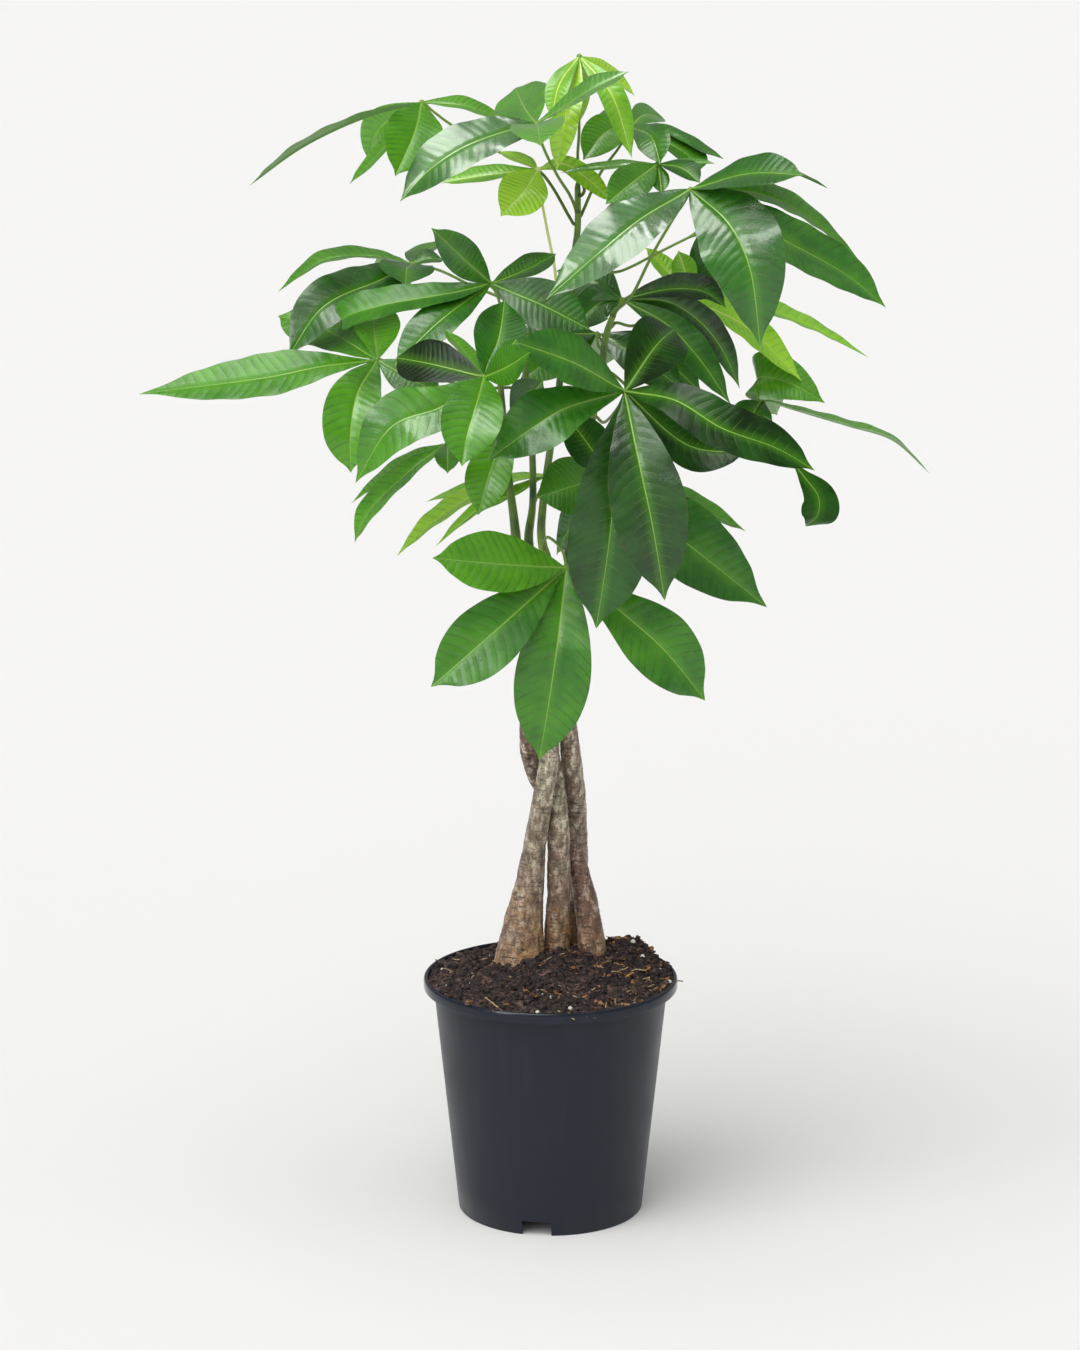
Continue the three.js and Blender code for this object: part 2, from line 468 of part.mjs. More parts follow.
function soil() {
  const sides = potSides;
  const shares = [1, 0.86, 0.68, 0.5, 0.32, 0.14];
  const rings = [];
  const inside = (z) => bodyRadius(z) - wall - gap - 0.3;
  const around = (radius, height) => {
    const ring = [];
    for (let i = 0; i < sides; i += 1) {
      const angle = (i / sides) * 2 * Math.PI;
      const x = radius * Math.cos(angle);
      const y = radius * Math.sin(angle);
      ring.push(new THREE.Vector3(x, y, typeof height === "number" ? height : height(x, y)));
    }
    return ring;
  };
  const low = floorRise + wall + gap;
  const ledge = rimHeight - rimDrop + wall + gap;
  const edgeRadius = rimInner - gap - 0.3;
  rings.push(around(discRadius.foot - 0.4, wall + gap));
  rings.push(around(discRadius.top - 0.4, low));
  rings.push(around(inside(low), low));
  rings.push(around(inside(ledge), ledge));
  rings.push(around(edgeRadius, ledge + 0.2));
  for (const share of shares) {
    const radius = share * edgeRadius;
    const edge = THREE.MathUtils.smoothstep(share, 0.9, 1);
    rings.push(around(radius, (x, y) => THREE.MathUtils.lerp(soilTop(x, y), Math.min(soilTop(x, y), soilEdge + 1.5), edge)));
  }
  const block = solid(skin(rings, new THREE.Vector3(0, 0, soilTop(0, 0))));
  const holes = Object.keys(trunks).map((name) => trunk(name, gap));
  return block.subtract(Manifold.union(holes));
}

const colours = {
  pot: { color: 0x2b2f38, roughness: 0.5 },
  soil: { color: 0x3a2a25, roughness: 0.95 },
  trunk: { color: 0x7a6656, roughness: 0.85 },
  leaf: { color: 0x3f7d2c, roughness: 0.4 },
};

const group = new THREE.Group();

function add(name, body, look) {
  const geometry = surface(body);
  geometry.computeVertexNormals();
  const mesh = new THREE.Mesh(geometry, new THREE.MeshStandardMaterial({ metalness: 0, ...look }));
  mesh.name = name;
  group.add(mesh);
}

add("pot", pot(), colours.pot);
add("soil", soil(), colours.soil);
for (const name of Object.keys(trunks)) add(name, trunk(name), colours.trunk);
for (const one of leaves) add(one.name, leaf(one), colours.leaf);

export default group;
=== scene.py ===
# %% [markdown]
# # A potted money tree
# This lesson builds a money tree (Pachira) about 0.9 m tall, in a 20 cm nursery pot. The frame gives
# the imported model: the pot, the soil, four braided trunks and 22 compound leaves. Each of them is
# replaced here by a finer piece of the same form, with veins, bark, crumbs of soil and real finishes.
# Everything is in metres, +Z is up and the viewer of the photograph stands towards -Y.

# %% Load the frame
import math
import random

import bpy
from mathutils import Matrix, Vector, noise


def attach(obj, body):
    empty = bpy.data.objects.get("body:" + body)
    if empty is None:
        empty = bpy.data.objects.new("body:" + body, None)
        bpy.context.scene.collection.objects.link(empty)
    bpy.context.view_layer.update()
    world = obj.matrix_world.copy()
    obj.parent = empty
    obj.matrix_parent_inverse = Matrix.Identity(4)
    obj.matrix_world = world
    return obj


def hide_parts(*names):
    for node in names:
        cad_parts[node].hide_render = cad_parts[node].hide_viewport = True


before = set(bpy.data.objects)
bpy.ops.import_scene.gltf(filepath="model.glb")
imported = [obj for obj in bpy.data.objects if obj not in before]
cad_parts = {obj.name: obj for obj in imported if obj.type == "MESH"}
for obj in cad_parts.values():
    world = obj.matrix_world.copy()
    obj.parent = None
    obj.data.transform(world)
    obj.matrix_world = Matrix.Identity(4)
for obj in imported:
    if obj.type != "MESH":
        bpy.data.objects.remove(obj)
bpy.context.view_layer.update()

print("nodes in the frame", len(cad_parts))

# %% [markdown]
# ## The viewer's eye
# The camera was fitted to the two ellipses of the pot, its rim and its foot: their widths and heights
# say how far away the eye is and how steeply it looks down. A long 125 mm lens on a 36 mm wide
# sensor gives the flat, near-parallel look of a catalogue photograph.

# %% Camera at the photograph's angle
MM = 0.001
EYE = Vector((-8.3, -2829.0, 1080.0)) * MM
LOOK_DOWN = math.radians(12.89)
camera_data = bpy.data.cameras.new("photo_camera")
camera_data.lens = 125.0
camera_data.sensor_width = 36.0
camera_data.sensor_fit = "HORIZONTAL"
camera_data.clip_end = 200.0
camera = bpy.data.objects.new("photo_camera", camera_data)
camera.location = EYE
camera.rotation_euler = (math.radians(90.0) - LOOK_DOWN, 0.0, 0.0)
bpy.context.scene.collection.objects.link(camera)
bpy.context.scene.camera = camera
print("camera at", [round(v, 3) for v in camera.location])

# %% [markdown]
# ## Colours and nodes
# Every material and every tree of nodes is built with the same few helpers. Colours are read off as
# sRGB hex values, but nodes want linear light, so one function turns them. Sizes of patterns are
# given in millimetres, and a texture's scale is how many of them lie side by side in a metre.

# %% Colours are written as sRGB hex values and turned to linear light in one place
def paint(code, alpha=1.0):
    channels = [int(code[i:i + 2], 16) / 255.0 for i in (1, 3, 5)]
    linear = [c / 12.92 if c <= 0.04045 else ((c + 0.055) / 1.055) ** 2.4 for c in channels]
    return (*linear, alpha)


print("middle grey in linear light", round(paint("#808080")[0], 3))


# %% How many patches of a size lie side by side in a metre, for one size or for three
def per_metre(*sizes_mm):
    counts = tuple(1000.0 / size for size in sizes_mm)
    return counts if len(counts) > 1 else counts[0]


print("grains of 2 mm in a metre", per_metre(2.0))


# %% One helper adds a node, sets its properties, and fills or links its inputs
def put(tree, kind, feeds=(), **settings):
    made = tree.nodes.new(kind)
    for name, value in settings.items():
        setattr(made, name, value)
    if not isinstance(feeds, dict):
        feeds = dict(zip([i for i, socket in enumerate(made.inputs) if socket.enabled], feeds))
    for key, value in feeds.items():
        if value is None:
            continue
        socket = made.inputs[key]
        if isinstance(value, bpy.types.Node):
            value = next(out for out in value.outputs if out.enabled)
        if isinstance(value, bpy.types.NodeSocket):
            tree.links.new(value, socket)
        else:
            socket.default_value = value
    return made


# %% The kinds of node that are used again and again
MATH = "ShaderNodeMath"
VECTOR = "ShaderNodeVectorMath"
RANGE = "ShaderNodeMapRange"
MIX = "ShaderNodeMix"
NOISE = "ShaderNodeTexNoise"
CELLS = "ShaderNodeTexVoronoi"
BUMP = "ShaderNodeBump"
READ = "ShaderNodeAttribute"
PLACE = "ShaderNodeTexCoord"
NAMED = "GeometryNodeInputNamedAttribute"
STORE = "GeometryNodeStoreNamedAttribute"
CIRCLE = "GeometryNodeCurvePrimitiveCircle"
TUBE = "GeometryNodeCurveToMesh"
MOVE = "GeometryNodeSetPosition"
SHADE = "GeometryNodeSetShadeSmooth"
DRESS = "GeometryNodeSetMaterial"
REAL = "GeometryNodeRealizeInstances"
JOIN = "GeometryNodeJoinGeometry"
COMPARE = "FunctionNodeCompare"
RANDOM = "FunctionNodeRandomValue"


# %% A new material, cleared to hold one Principled surface
def surface_of(name):
    material = bpy.data.materials.new(name)
    material.use_nodes = True
    tree = material.node_tree
    tree.nodes.clear()
    return material, tree


def finish_surface(tree, feeds):
    surface = put(tree, "ShaderNodeBsdfPrincipled", feeds)
    put(tree, "ShaderNodeOutputMaterial", {"Surface": surface})


# %% [markdown]
# ## Light and floor
# The light of the photograph is soft: it comes from the upper left front, from above and a little
# from the right. Three wide suns give it to every matt colour. Leaves also mirror the lamps, so five
# more suns that only gloss sees place the broad sheen, the pale streaks and the small glints. The
# world is a dim fill, and pale where the camera looks straight at it. The floor is a plain sheet of
# matt paper that runs far past the view, so no horizon shows.

# %% Floor of matt paper
FLOOR_REACH = 60.0


def lay_floor():
    mesh = bpy.data.meshes.new("pale_floor")
    corners = [(x * FLOOR_REACH, y * FLOOR_REACH, 0) for x, y in ((-1, -1), (1, -1), (1, 1), (-1, 1))]
    mesh.from_pydata(corners, [], [(0, 1, 2, 3)])
    floor = bpy.data.objects.new("pale_floor", mesh)
    bpy.context.scene.collection.objects.link(floor)
    matt, tree = surface_of("matt_studio_paper")
    finish_surface(tree, {"Base Color": paint("#eeeeee"), "Roughness": 0.9, "Specular IOR Level": 0.0})
    mesh.materials.append(matt)
    return floor


print("floor", lay_floor().name)

# %% World: a dim fill for the plant, and pale behind it
WORLD_FILL = 0.34
WORLD_SEEN = 0.97


def light_world():
    world = bpy.data.worlds.new("pale_studio")
    world.use_nodes = True
    tree = world.node_tree
    tree.nodes.clear()
    seen = put(tree, "ShaderNodeLightPath").outputs["Is Camera Ray"]
    strength = put(tree, RANGE, (seen, 0.0, 1.0, WORLD_FILL, WORLD_SEEN))
    sky = put(tree, "ShaderNodeBackground", {"Color": paint("#f9f9f9"), "Strength": strength})
    put(tree, "ShaderNodeOutputWorld", {"Surface": sky})
    bpy.context.scene.world = world
    return world


print("world", light_world().name)

# %% Lamps: name, strength, width in degrees, the way to it, and whether matt or gloss sees it
lamps = [
    ("window_front", 1.75, 64.0, (-0.5, -0.7, 0.75), "matt"),
    ("window_above", 1.0, 50.0, (-0.2, -0.2, 1.0), "matt"),
    ("fill_right", 0.5, 80.0, (0.9, -0.6, 0.7), "matt"),
    ("sheen_wide", 0.7, 60.0, (-0.5, -0.7, 0.75), "gloss"),
    ("sheen_above", 2.4, 34.0, (-0.262, -0.22, 0.94), "gloss"),
    ("sheen_front", 0.9, 18.0, (-0.66, -0.66, 0.36), "gloss"),
    ("glint_left", 0.3, 8.0, (-0.13, 0.13, 0.98), "gloss"),
    ("glint_right", 0.3, 8.0, (0.217, 0.162, 0.962), "gloss"),
]


def hang_lamp(name, strength, width, source, seen_by):
    data = bpy.data.lights.new(name, "SUN")
    data.energy = strength
    data.angle = math.radians(width)
    data.color = paint("#fffefc")[:3]
    lamp = bpy.data.objects.new(name, data)
    lamp.rotation_euler = Vector(source).to_track_quat("Z", "Y").to_euler()
    lamp.visible_diffuse = seen_by == "matt"
    lamp.visible_glossy = seen_by == "gloss"
    bpy.context.scene.collection.objects.link(lamp)


for lamp in lamps:
    hang_lamp(*lamp)
bpy.context.scene.view_settings.view_transform = "Standard"
print("lamps", [light.name for light in bpy.data.lights])

# %% [markdown]
# ## The layout of the plant
# A plant is laid out as it is seen: a place is [across, up, near], where across and up are
# millimetres in the upright plane through the pot's axis, and near slides it along the line of
# sight towards the eye. Each trunk row also has the radius there.
#
# A leaf has the trunk that it grows from and the height of its foot on it, the places that its stalk
# passes through, and its hub, where its leaflets meet. A leaflet has its greatest width, its turn
# about its midrib in degrees, and the path of its midrib. Where they aren't the usual ones, it also
# has its peak, how far along it is widest; bare, the share of it near the hub that is only a stalk;
# fold, how much its halves fold up; shade, which makes its green lighter or darker, partly as its own
# green, partly as painted shade where it sits in the shadow of other leaflets and as painted light
# where it faces away from the lamps; and wax, its gloss. A pale leaf has a stalk that is painted
# paler, partly its own pale green and partly painted light where it hangs in shade.

# %% Trunks: four woody shoots, braided, that turn green above the braid
trunks = {
    "trunk_1": [
        [-23, 150, -17, 14], [-25, 192, -17, 20.5], [-23.5, 211, -17, 18.6], [-21, 235, -15, 15.5],
        [-16, 267, -11, 11], [-12, 298, -6, 8.8], [-6, 335, -1, 7.7], [-1, 365, 0, 7.4],
        [0, 390, -2, 7.2], [4, 421, -8, 7], [12, 452, -16, 6.8], [16, 484, -17, 6.6],
        [15, 520, -14, 4.8], [15, 558, -14, 3.4], [28, 617, -18, 3], [37, 659, -22, 2.8],
        [42, 697, -26, 2.6], [47, 712, -28, 2.4],
    ],
    "trunk_2": [
        [5, 150, -22, 9], [5, 206, -22, 10], [5, 235, -20, 9.5], [6.5, 267, -16, 9.2],
        [5.5, 313, -14, 8.4], [4.5, 338, -18, 7.6], [-1, 373, -20, 7], [-8, 402, -21, 6.8],
        [-14, 437, -21, 6.6], [-19, 484, -14, 6.2], [-26, 523, -10, 4.8], [-27, 543, -8, 3.8],
        [-33, 595, -4, 2.6], [-36, 632, 0, 2.5], [-39, 670, 2, 2.4], [-39, 703, 0, 2.3],
    ],
    "trunk_3": [
        [34, 150, -24, 11], [33, 205, -24, 12], [30, 235, -24, 10], [24, 267, -27, 8.6],
        [14, 298, -32, 8], [2, 329, -35, 7.6], [-11, 352, -30, 7.3], [-17, 375, -18, 7],
        [-17, 402, -6, 7], [-14, 437, 2, 6.8], [-4, 460, 4, 6.6], [4, 484, 2, 6.2],
        [-1, 515, 0, 4.6], [-7, 540, -2, 3.4], [-6, 567, -2, 3], [-1, 606, -6, 2.8],
        [5, 647, -8, 2.7], [11, 701, -10, 2.6], [17, 754, -10, 2.5], [20, 777, -8, 2.5],
        [20, 808, -6, 2.3],
    ],
    "trunk_4": [
        [19, 150, -47, 9], [19, 212, -47, 9], [21, 251, -46, 8], [21, 298, -48, 7.8],
        [20, 329, -40, 8.2], [16.5, 360, -26, 8.2], [13.5, 390, -17, 7.4], [7, 421, -25, 6.4],
        [-1, 452, -29, 6.2], [-8, 478, -28, 6], [-14, 512, -25, 4.6], [-17, 540, -23, 3.6],
        [-14, 566, -22, 2.8], [-14, 602, -24, 2.6], [-17, 647, -28, 2.5], [-23, 693, -34, 2.4],
        [-29, 724, -38, 2.3],
    ],
}
print("trunks", len(trunks))

# %% Leaves: where each leaves its trunk, its stalk, its hub and its leaflets
leaves = [
    {"name": "leaf_right_top", "trunk": "trunk_1", "foot": 708,
     "stalk": [[61, 727, 12], [78, 761, 45], [101, 800, 82]], "hub": [105, 807, 90], "leaflets": [
        {"wide": 46, "turn": 30, "peak": 0.5, "fold": 0.6, "wax": 1.0,
         "path": [[66, 784, 125], [38, 761, 140], [-4, 724, 140]]},
        {"wide": 60, "turn": 0, "peak": 0.5, "wax": 0.6,
         "path": [[135, 780, 122], [150, 748, 136], [159, 688, 136]]},
        {"wide": 36, "turn": -52, "shade": -0.1, "path": [[149, 819, 125], [190, 818, 150]]},
        {"wide": 42, "turn": -40, "shade": 0.15, "wax": 0.6,
         "path": [[138, 790, 70], [176, 769, 62], [223, 743, 58], [254, 718, 60]]},
        {"wide": 32, "turn": -62, "shade": 0.2, "path": [[157, 804, 50], [192, 788, 30], [237, 749, 22]]},
        {"wide": 26, "turn": -76, "path": [[151, 819, 62], [181, 820, 45], [209, 808, 38]]},
     ]},
    {"name": "leaf_right_front", "trunk": "trunk_1", "foot": 628,
     "stalk": [[40, 630, 20], [50, 640, 70], [55, 650, 115]], "hub": [56, 654, 130], "leaflets": [
        {"wide": 42, "turn": 35, "shade": 0.3, "path": [[17, 676, 165], [-27, 692, 190]]},
        {"wide": 46, "turn": 20, "shade": 0.25, "path": [[9, 640, 165], [-14, 626, 176], [-48, 601, 180]]},
        {"wide": 55, "turn": 0, "path": [[67, 601, 160], [78, 550, 168], [88, 491, 162]]},
        {"wide": 60, "turn": 0, "peak": 0.62, "path": [[51, 601, 142], [44, 531, 142], [35, 469, 140]]},
        {"wide": 40, "turn": -32, "peak": 0.52, "shade": -0.1, "wax": 0.0,
         "path": [[95, 647, 160], [130, 626, 175], [173, 610, 172], [202, 593, 165]]},
        {"wide": 38, "turn": -20, "wax": 0.0, "shade": -0.05, "path": [[106, 612, 124], [151, 607, 128]]},
        {"wide": 44, "turn": 0, "shade": -0.15, "wax": 0.0, "path": [[79, 688, 105], [94, 702, 62]]},
     ]},
    {"name": "leaf_low_front", "trunk": "trunk_3", "foot": 532,
     "stalk": [[-2, 541, 35], [9, 530, 82]], "hub": [12, 517, 105], "leaflets": [
        {"wide": 48, "turn": 22, "shade": 0.15, "path": [[-39, 520, 130], [-91, 525, 140]]},
        {"wide": 50, "turn": 5, "peak": 0.62, "path": [[-39, 471, 138], [-93, 423, 145]]},
        {"wide": 56, "turn": 0, "peak": 0.5, "path": [[5, 456, 128], [-2, 407, 126], [-9, 364, 116]]},
        {"wide": 51, "turn": -10, "peak": 0.62, "shade": -0.1,
         "path": [[56, 481, 116], [88, 452, 118], [120, 412, 110]]},
     ]},
    {"name": "leaf_left_wide", "trunk": "trunk_4", "foot": 648,
     "stalk": [[-62, 657, 5], [-99, 669, 25]], "hub": [-132, 678, 40], "leaflets": [
        {"wide": 42, "turn": 40, "peak": 0.64, "shade": -0.15, "wax": 0.1,
         "path": [[-175, 673, 55], [-214, 665, 58], [-314, 652, 45]]},
        {"wide": 44, "turn": 0, "peak": 0.52, "path": [[-148, 650, 80], [-153, 620, 98], [-153, 591, 96]]},
        {"wide": 46, "turn": 35, "path": [[-171, 701, -15], [-207, 712, -43]]},
        {"wide": 30, "turn": -20, "shade": -0.25, "path": [[-107, 664, 60], [-84, 651, 82]]},
        {"wide": 40, "turn": 15, "shade": 0.6, "path": [[-134, 704, -10], [-135, 724, -48]]},
     ]},
    {"name": "leaf_left_mid", "trunk": "trunk_2", "foot": 700,
     "stalk": [[-39, 722, 40]], "hub": [-45, 736, 60], "leaflets": [
        {"wide": 27, "turn": 10, "path": [[-66, 755, 92], [-90, 778, 122]]},
        {"wide": 36, "turn": 52, "shade": 0.1, "wax": 0.1,
         "path": [[-76, 729, 76], [-131, 719, 80], [-158, 709, 76], [-154, 704, 74]]},
        {"wide": 34, "turn": 34, "shade": 0.1, "path": [[-84, 708, 95], [-119, 674, 112]]},
        {"wide": 28, "turn": -52, "path": [[-16, 748, 42], [4, 759, 30]]},
        {"wide": 40, "turn": -15, "shade": -0.1, "path": [[-7, 720, 72], [30, 701, 80]]},
     ]},
    {"name": "leaf_centre_front", "trunk": "trunk_2", "foot": 634,
     "stalk": [[-40, 648, 60], [-47, 660, 125]], "hub": [-51, 665, 168], "leaflets": [
        {"wide": 38, "turn": 0, "shade": -0.5, "wax": 0.0, "path": [[-40, 693, 152], [-35, 724, 118]]},
        {"wide": 43, "turn": 0, "peak": 0.5, "path": [[-57, 643, 210], [-64, 620, 228], [-68, 596, 236]]},
        {"wide": 44, "turn": 25, "shade": -0.1, "wax": 0.35,
         "path": [[-84, 642, 198], [-120, 628, 205], [-150, 583, 196]]},
        {"wide": 28, "turn": -20, "shade": -0.15, "wax": 0.0, "path": [[-33, 673, 188], [-16, 684, 208]]},
        {"wide": 38, "turn": 30, "shade": -0.8, "wax": 0.0, "path": [[-91, 675, 150], [-118, 680, 125]]},
        {"wide": 16, "turn": -20, "shade": -0.2, "path": [[-36, 682, 165], [-25, 695, 150]]},
        {"wide": 20, "turn": 58, "shade": 0.35, "path": [[-67, 686, 132], [-80, 701, 108]]},
     ]},
    {"name": "leaf_young_light", "pale": 1.2, "trunk": "trunk_3", "foot": 694,
     "stalk": [[3, 746, 6], [-3, 777, 12], [-8, 805, 18]], "hub": [-10, 822, 20], "leaflets": [
        {"wide": 26, "turn": 62, "shade": -0.4, "path": [[-46, 818, 26], [-83, 812, 22]]},
        {"wide": 18, "turn": 60, "shade": 0.6, "path": [[-23, 829, 2], [-39, 836, -20]]},
        {"wide": 36, "turn": 10, "shade": 0.55, "path": [[-20, 806, 45], [-38, 787, 60]]},
        {"wide": 16, "turn": -20, "path": [[10, 826, 6], [31, 812, 6], [46, 797, 4]]},
     ]},
    {"name": "leaf_top_gloss", "trunk": "trunk_3", "foot": 790,
     "stalk": [[14, 803, 10], [5, 817, 28], [-6, 839, 44]], "hub": [-11, 856, 50], "leaflets": [
        {"wide": 42, "turn": 38, "fold": 0.7, "shade": -0.2, "wax": 1.0,
         "path": [[-29, 852, 62], [-65, 839, 76], [-91, 822, 82], [-114, 798, 80]]},
        {"wide": 46, "turn": 0, "shade": 0.1, "path": [[-20, 868, 8], [-27, 883, -48]]},
        {"wide": 40, "turn": 0, "shade": 0.55, "wax": 1.0, "path": [[-10, 854, 92], [-8, 840, 125]]},
        {"wide": 30, "turn": -65, "shade": 0.15, "wax": 1.0, "path": [[29, 881, 60], [58, 895, 56]]},
     ]},
    {"name": "leaf_top_left", "trunk": "trunk_3", "foot": 780,
     "stalk": [[-8, 820, -14], [-37, 834, -22], [-73, 854, -28]], "hub": [-97, 872, -30], "leaflets": [
        {"wide": 34, "turn": 96, "path": [[-137, 862, -20], [-187, 839, -14], [-227, 810, -18]]},
        {"wide": 30, "turn": 30, "path": [[-130, 851, -62], [-137, 827, -75]]},
        {"wide": 43, "turn": 0, "shade": -0.1, "wax": 0.05, "path": [[-102, 850, 5], [-117, 817, 30]]},
        {"wide": 28, "turn": -68, "path": [[-64, 869, -36], [-33, 857, -40]]},
        {"wide": 14, "turn": 50, "wax": 0.9, "path": [[-126, 838, -52], [-152, 811, -62]]},
     ]},
    {"name": "leaf_top_bud", "trunk": "trunk_3", "foot": 802,
     "stalk": [[22, 817, -4], [20, 830, -2], [21, 851, 0], [20, 885, 0]], "hub": [21, 906, 0], "leaflets": [
        {"wide": 18, "turn": 25, "shade": -0.6, "path": [[6, 885, 28], [0, 860, 38]]},
        {"wide": 23, "turn": 15, "shade": 0.15, "wax": 0.8, "path": [[12, 868, 34], [4, 821, 38]]},
        {"wide": 20, "turn": -15, "shade": -0.4, "path": [[45, 878, 22], [61, 830, 28]]},
        {"wide": 20, "turn": -62, "path": [[44, 893, -24], [63, 877, -36]]},
        {"wide": 28, "turn": 180, "path": [[16, 882, -42], [12, 846, -62]]},
     ]},
    {"name": "leaf_top_right", "trunk": "trunk_3", "foot": 786,
     "stalk": [[37, 819, -24], [52, 840, -42]], "hub": [59, 854, -50], "leaflets": [
        {"wide": 28, "turn": -74, "path": [[85, 851, -48], [110, 838, -44], [130, 830, -44]]},
        {"wide": 28, "turn": -55, "path": [[82, 845, -36], [108, 828, -28], [112, 821, -26]]},
        {"wide": 26, "turn": -10, "shade": 0.1, "path": [[76, 845, -2], [82, 826, 16]]},
        {"wide": 22, "turn": -38, "shade": 0.2, "wax": 0.8, "path": [[71, 863, -76], [86, 859, -98]]},
        {"wide": 30, "turn": 15, "shade": 0.55, "path": [[41, 850, -34], [24, 829, -20]]},
        {"wide": 22, "turn": 62, "path": [[40, 862, -76], [25, 854, -94]]},
     ]},
    {"name": "leaf_top_small", "trunk": "trunk_3", "foot": 765,
     "stalk": [[44, 794, -2], [67, 812, 4]], "hub": [80, 826, 10], "leaflets": [
        {"wide": 29, "turn": 15, "path": [[62, 813, 36], [41, 796, 56]]},
        {"wide": 16, "turn": 66, "shade": 0.9, "wax": 0.8, "path": [[52, 825, 20], [7, 820, 22]]},
        {"wide": 14, "turn": 0, "path": [[82, 815, 18], [83, 804, 26]]},
        {"wide": 22, "turn": -50, "shade": -0.35, "wax": 0.05, "path": [[98, 823, 30], [112, 812, 42]]},
        {"wide": 14, "turn": -70, "path": [[103, 827, 6], [123, 827, 4]]},
     ]},
    {"name": "leaf_right_inner", "trunk": "trunk_1", "foot": 688,
     "stalk": [[44, 704, -41], [50, 716, -43]], "hub": [54, 724, -40], "leaflets": [
        {"wide": 36, "turn": -55, "wax": 0.0, "path": [[90, 732, -52], [116, 730, -54], [133, 718, -50]]},
        {"wide": 27, "turn": -15, "shade": 0.33,
         "path": [[88, 705, -30], [111, 681, -22], [137, 644, -14]]},
        {"wide": 27, "turn": -25, "shade": 0.12,
         "path": [[89, 722, -60], [113, 707, -72], [130, 686, -80], [144, 656, -82]]},
        {"wide": 30, "turn": 15, "shade": 0.25, "path": [[38, 722, -52], [14, 700, -40]]},
        {"wide": 34, "turn": 8, "shade": 0.15, "path": [[32, 738, -62], [4, 746, -78]]},
     ]},
    {"name": "leaf_right_back", "trunk": "trunk_1", "foot": 700,
     "stalk": [[62, 704, -50], [84, 716, -84]], "hub": [105, 724, -112], "leaflets": [
        {"wide": 36, "turn": -50, "path": [[147, 704, -132], [191, 662, -136]]},
        {"wide": 36, "turn": -70, "shade": -0.2,
         "path": [[139, 724, -158], [189, 707, -180], [242, 680, -190]]},
        {"wide": 36, "turn": 180, "path": [[118, 724, -170], [128, 712, -225]]},
        {"wide": 24, "turn": 50, "shade": -0.1, "path": [[89, 744, -132], [71, 764, -140]]},
        {"wide": 20, "turn": 0, "shade": -0.3, "path": [[101, 746, -108], [96, 761, -104]]},
     ]},
    {"name": "leaf_right_far", "trunk": "trunk_1", "foot": 662,
     "stalk": [[75, 645, -62], [121, 637, -115]], "hub": [161, 648, -150], "leaflets": [
        {"wide": 44, "turn": -28, "peak": 0.45, "shade": 0.2,
         "path": [[157, 664, -144], [180, 661, -138], [209, 645, -132]]},
        {"wide": 30, "turn": -84, "shade": 0.4,
         "path": [[183, 641, -160], [227, 628, -170], [261, 617, -172], [290, 591, -168]]},
        {"wide": 34, "turn": 0, "path": [[153, 634, -128], [146, 608, -118]]},
        {"wide": 32, "turn": -10, "bare": 0.3, "shade": -0.35, "peak": 0.6, "wax": 0.0,
         "path": [[176, 611, -136], [193, 589, -130], [205, 572, -128], [204, 557, -130], [195, 549, -136]]},
        {"wide": 40, "turn": 180, "path": [[168, 652, -200], [172, 636, -248]]},
     ]},
    {"name": "leaf_left_low", "trunk": "trunk_2", "foot": 603,
     "stalk": [[-54, 609, 28]], "hub": [-79, 614, 60], "leaflets": [
        {"wide": 32, "turn": 60, "peak": 0.5, "path": [[-110, 591, 74], [-140, 560, 82], [-151, 537, 84]]},
        {"wide": 28, "turn": 70, "shade": 0.1, "path": [[-115, 596, 46], [-153, 568, 34]]},
        {"wide": 19, "turn": 0, "shade": -0.2, "path": [[-79, 604, 88], [-79, 591, 106]]},
     ]},
    {"name": "leaf_left_thin", "trunk": "trunk_4", "foot": 560,
     "stalk": [[-8, 578, -40]], "hub": [-2, 590, -50], "leaflets": [
        {"wide": 36, "turn": 68, "shade": 0.3,
         "path": [[-31, 585, -34], [-60, 573, -22], [-93, 551, -14], [-119, 526, -10]]},
        {"wide": 30, "turn": 72, "path": [[-47, 582, -78], [-96, 569, -92]]},
        {"wide": 26, "turn": 68, "shade": -0.2,
         "path": [[-27, 576, -62], [-55, 563, -60], [-89, 534, -55]]},
        {"wide": 36, "turn": 180, "path": [[18, 583, -104], [30, 562, -150]]},
     ]},
    {"name": "leaf_centre_low", "trunk": "trunk_2", "foot": 620,
     "stalk": [[-34, 626, 30]], "hub": [-30, 632, 52], "leaflets": [
        {"wide": 34, "turn": 10, "shade": 0.8, "path": [[-46, 594, 78], [-56, 558, 84]]},
        {"wide": 32, "turn": -10, "path": [[-17, 648, 66], [-6, 662, 80]]},
     ]},
    {"name": "leaf_under_front", "trunk": "trunk_1", "foot": 590,
     "stalk": [[34, 598, 12]], "hub": [44, 589, 40], "leaflets": [
        {"wide": 45, "turn": 10, "peak": 0.5, "shade": 0.1, "path": [[14, 580, 64], [-11, 572, 76]]},
        {"wide": 28, "turn": 45, "path": [[22, 562, 50], [4, 527, 36]]},
        {"wide": 18, "turn": 20, "path": [[32, 570, 80], [20, 556, 92]]},
        {"wide": 58, "turn": -15, "peak": 0.62, "path": [[68, 565, 62], [106, 535, 72], [167, 486, 66]]},
        {"wide": 32, "turn": -62, "shade": 0.2, "path": [[99, 571, 32], [150, 546, 22]]},
        {"wide": 34, "turn": 15, "shade": -0.35, "wax": 0.0, "path": [[30, 611, 46], [10, 638, 42]]},
     ]},
    {"name": "leaf_left_back", "trunk": "trunk_4", "foot": 716,
     "stalk": [[-61, 735, -50], [-84, 746, -56]], "hub": [-105, 751, -60], "leaflets": [
        {"wide": 34, "turn": 72, "shade": 0.3,
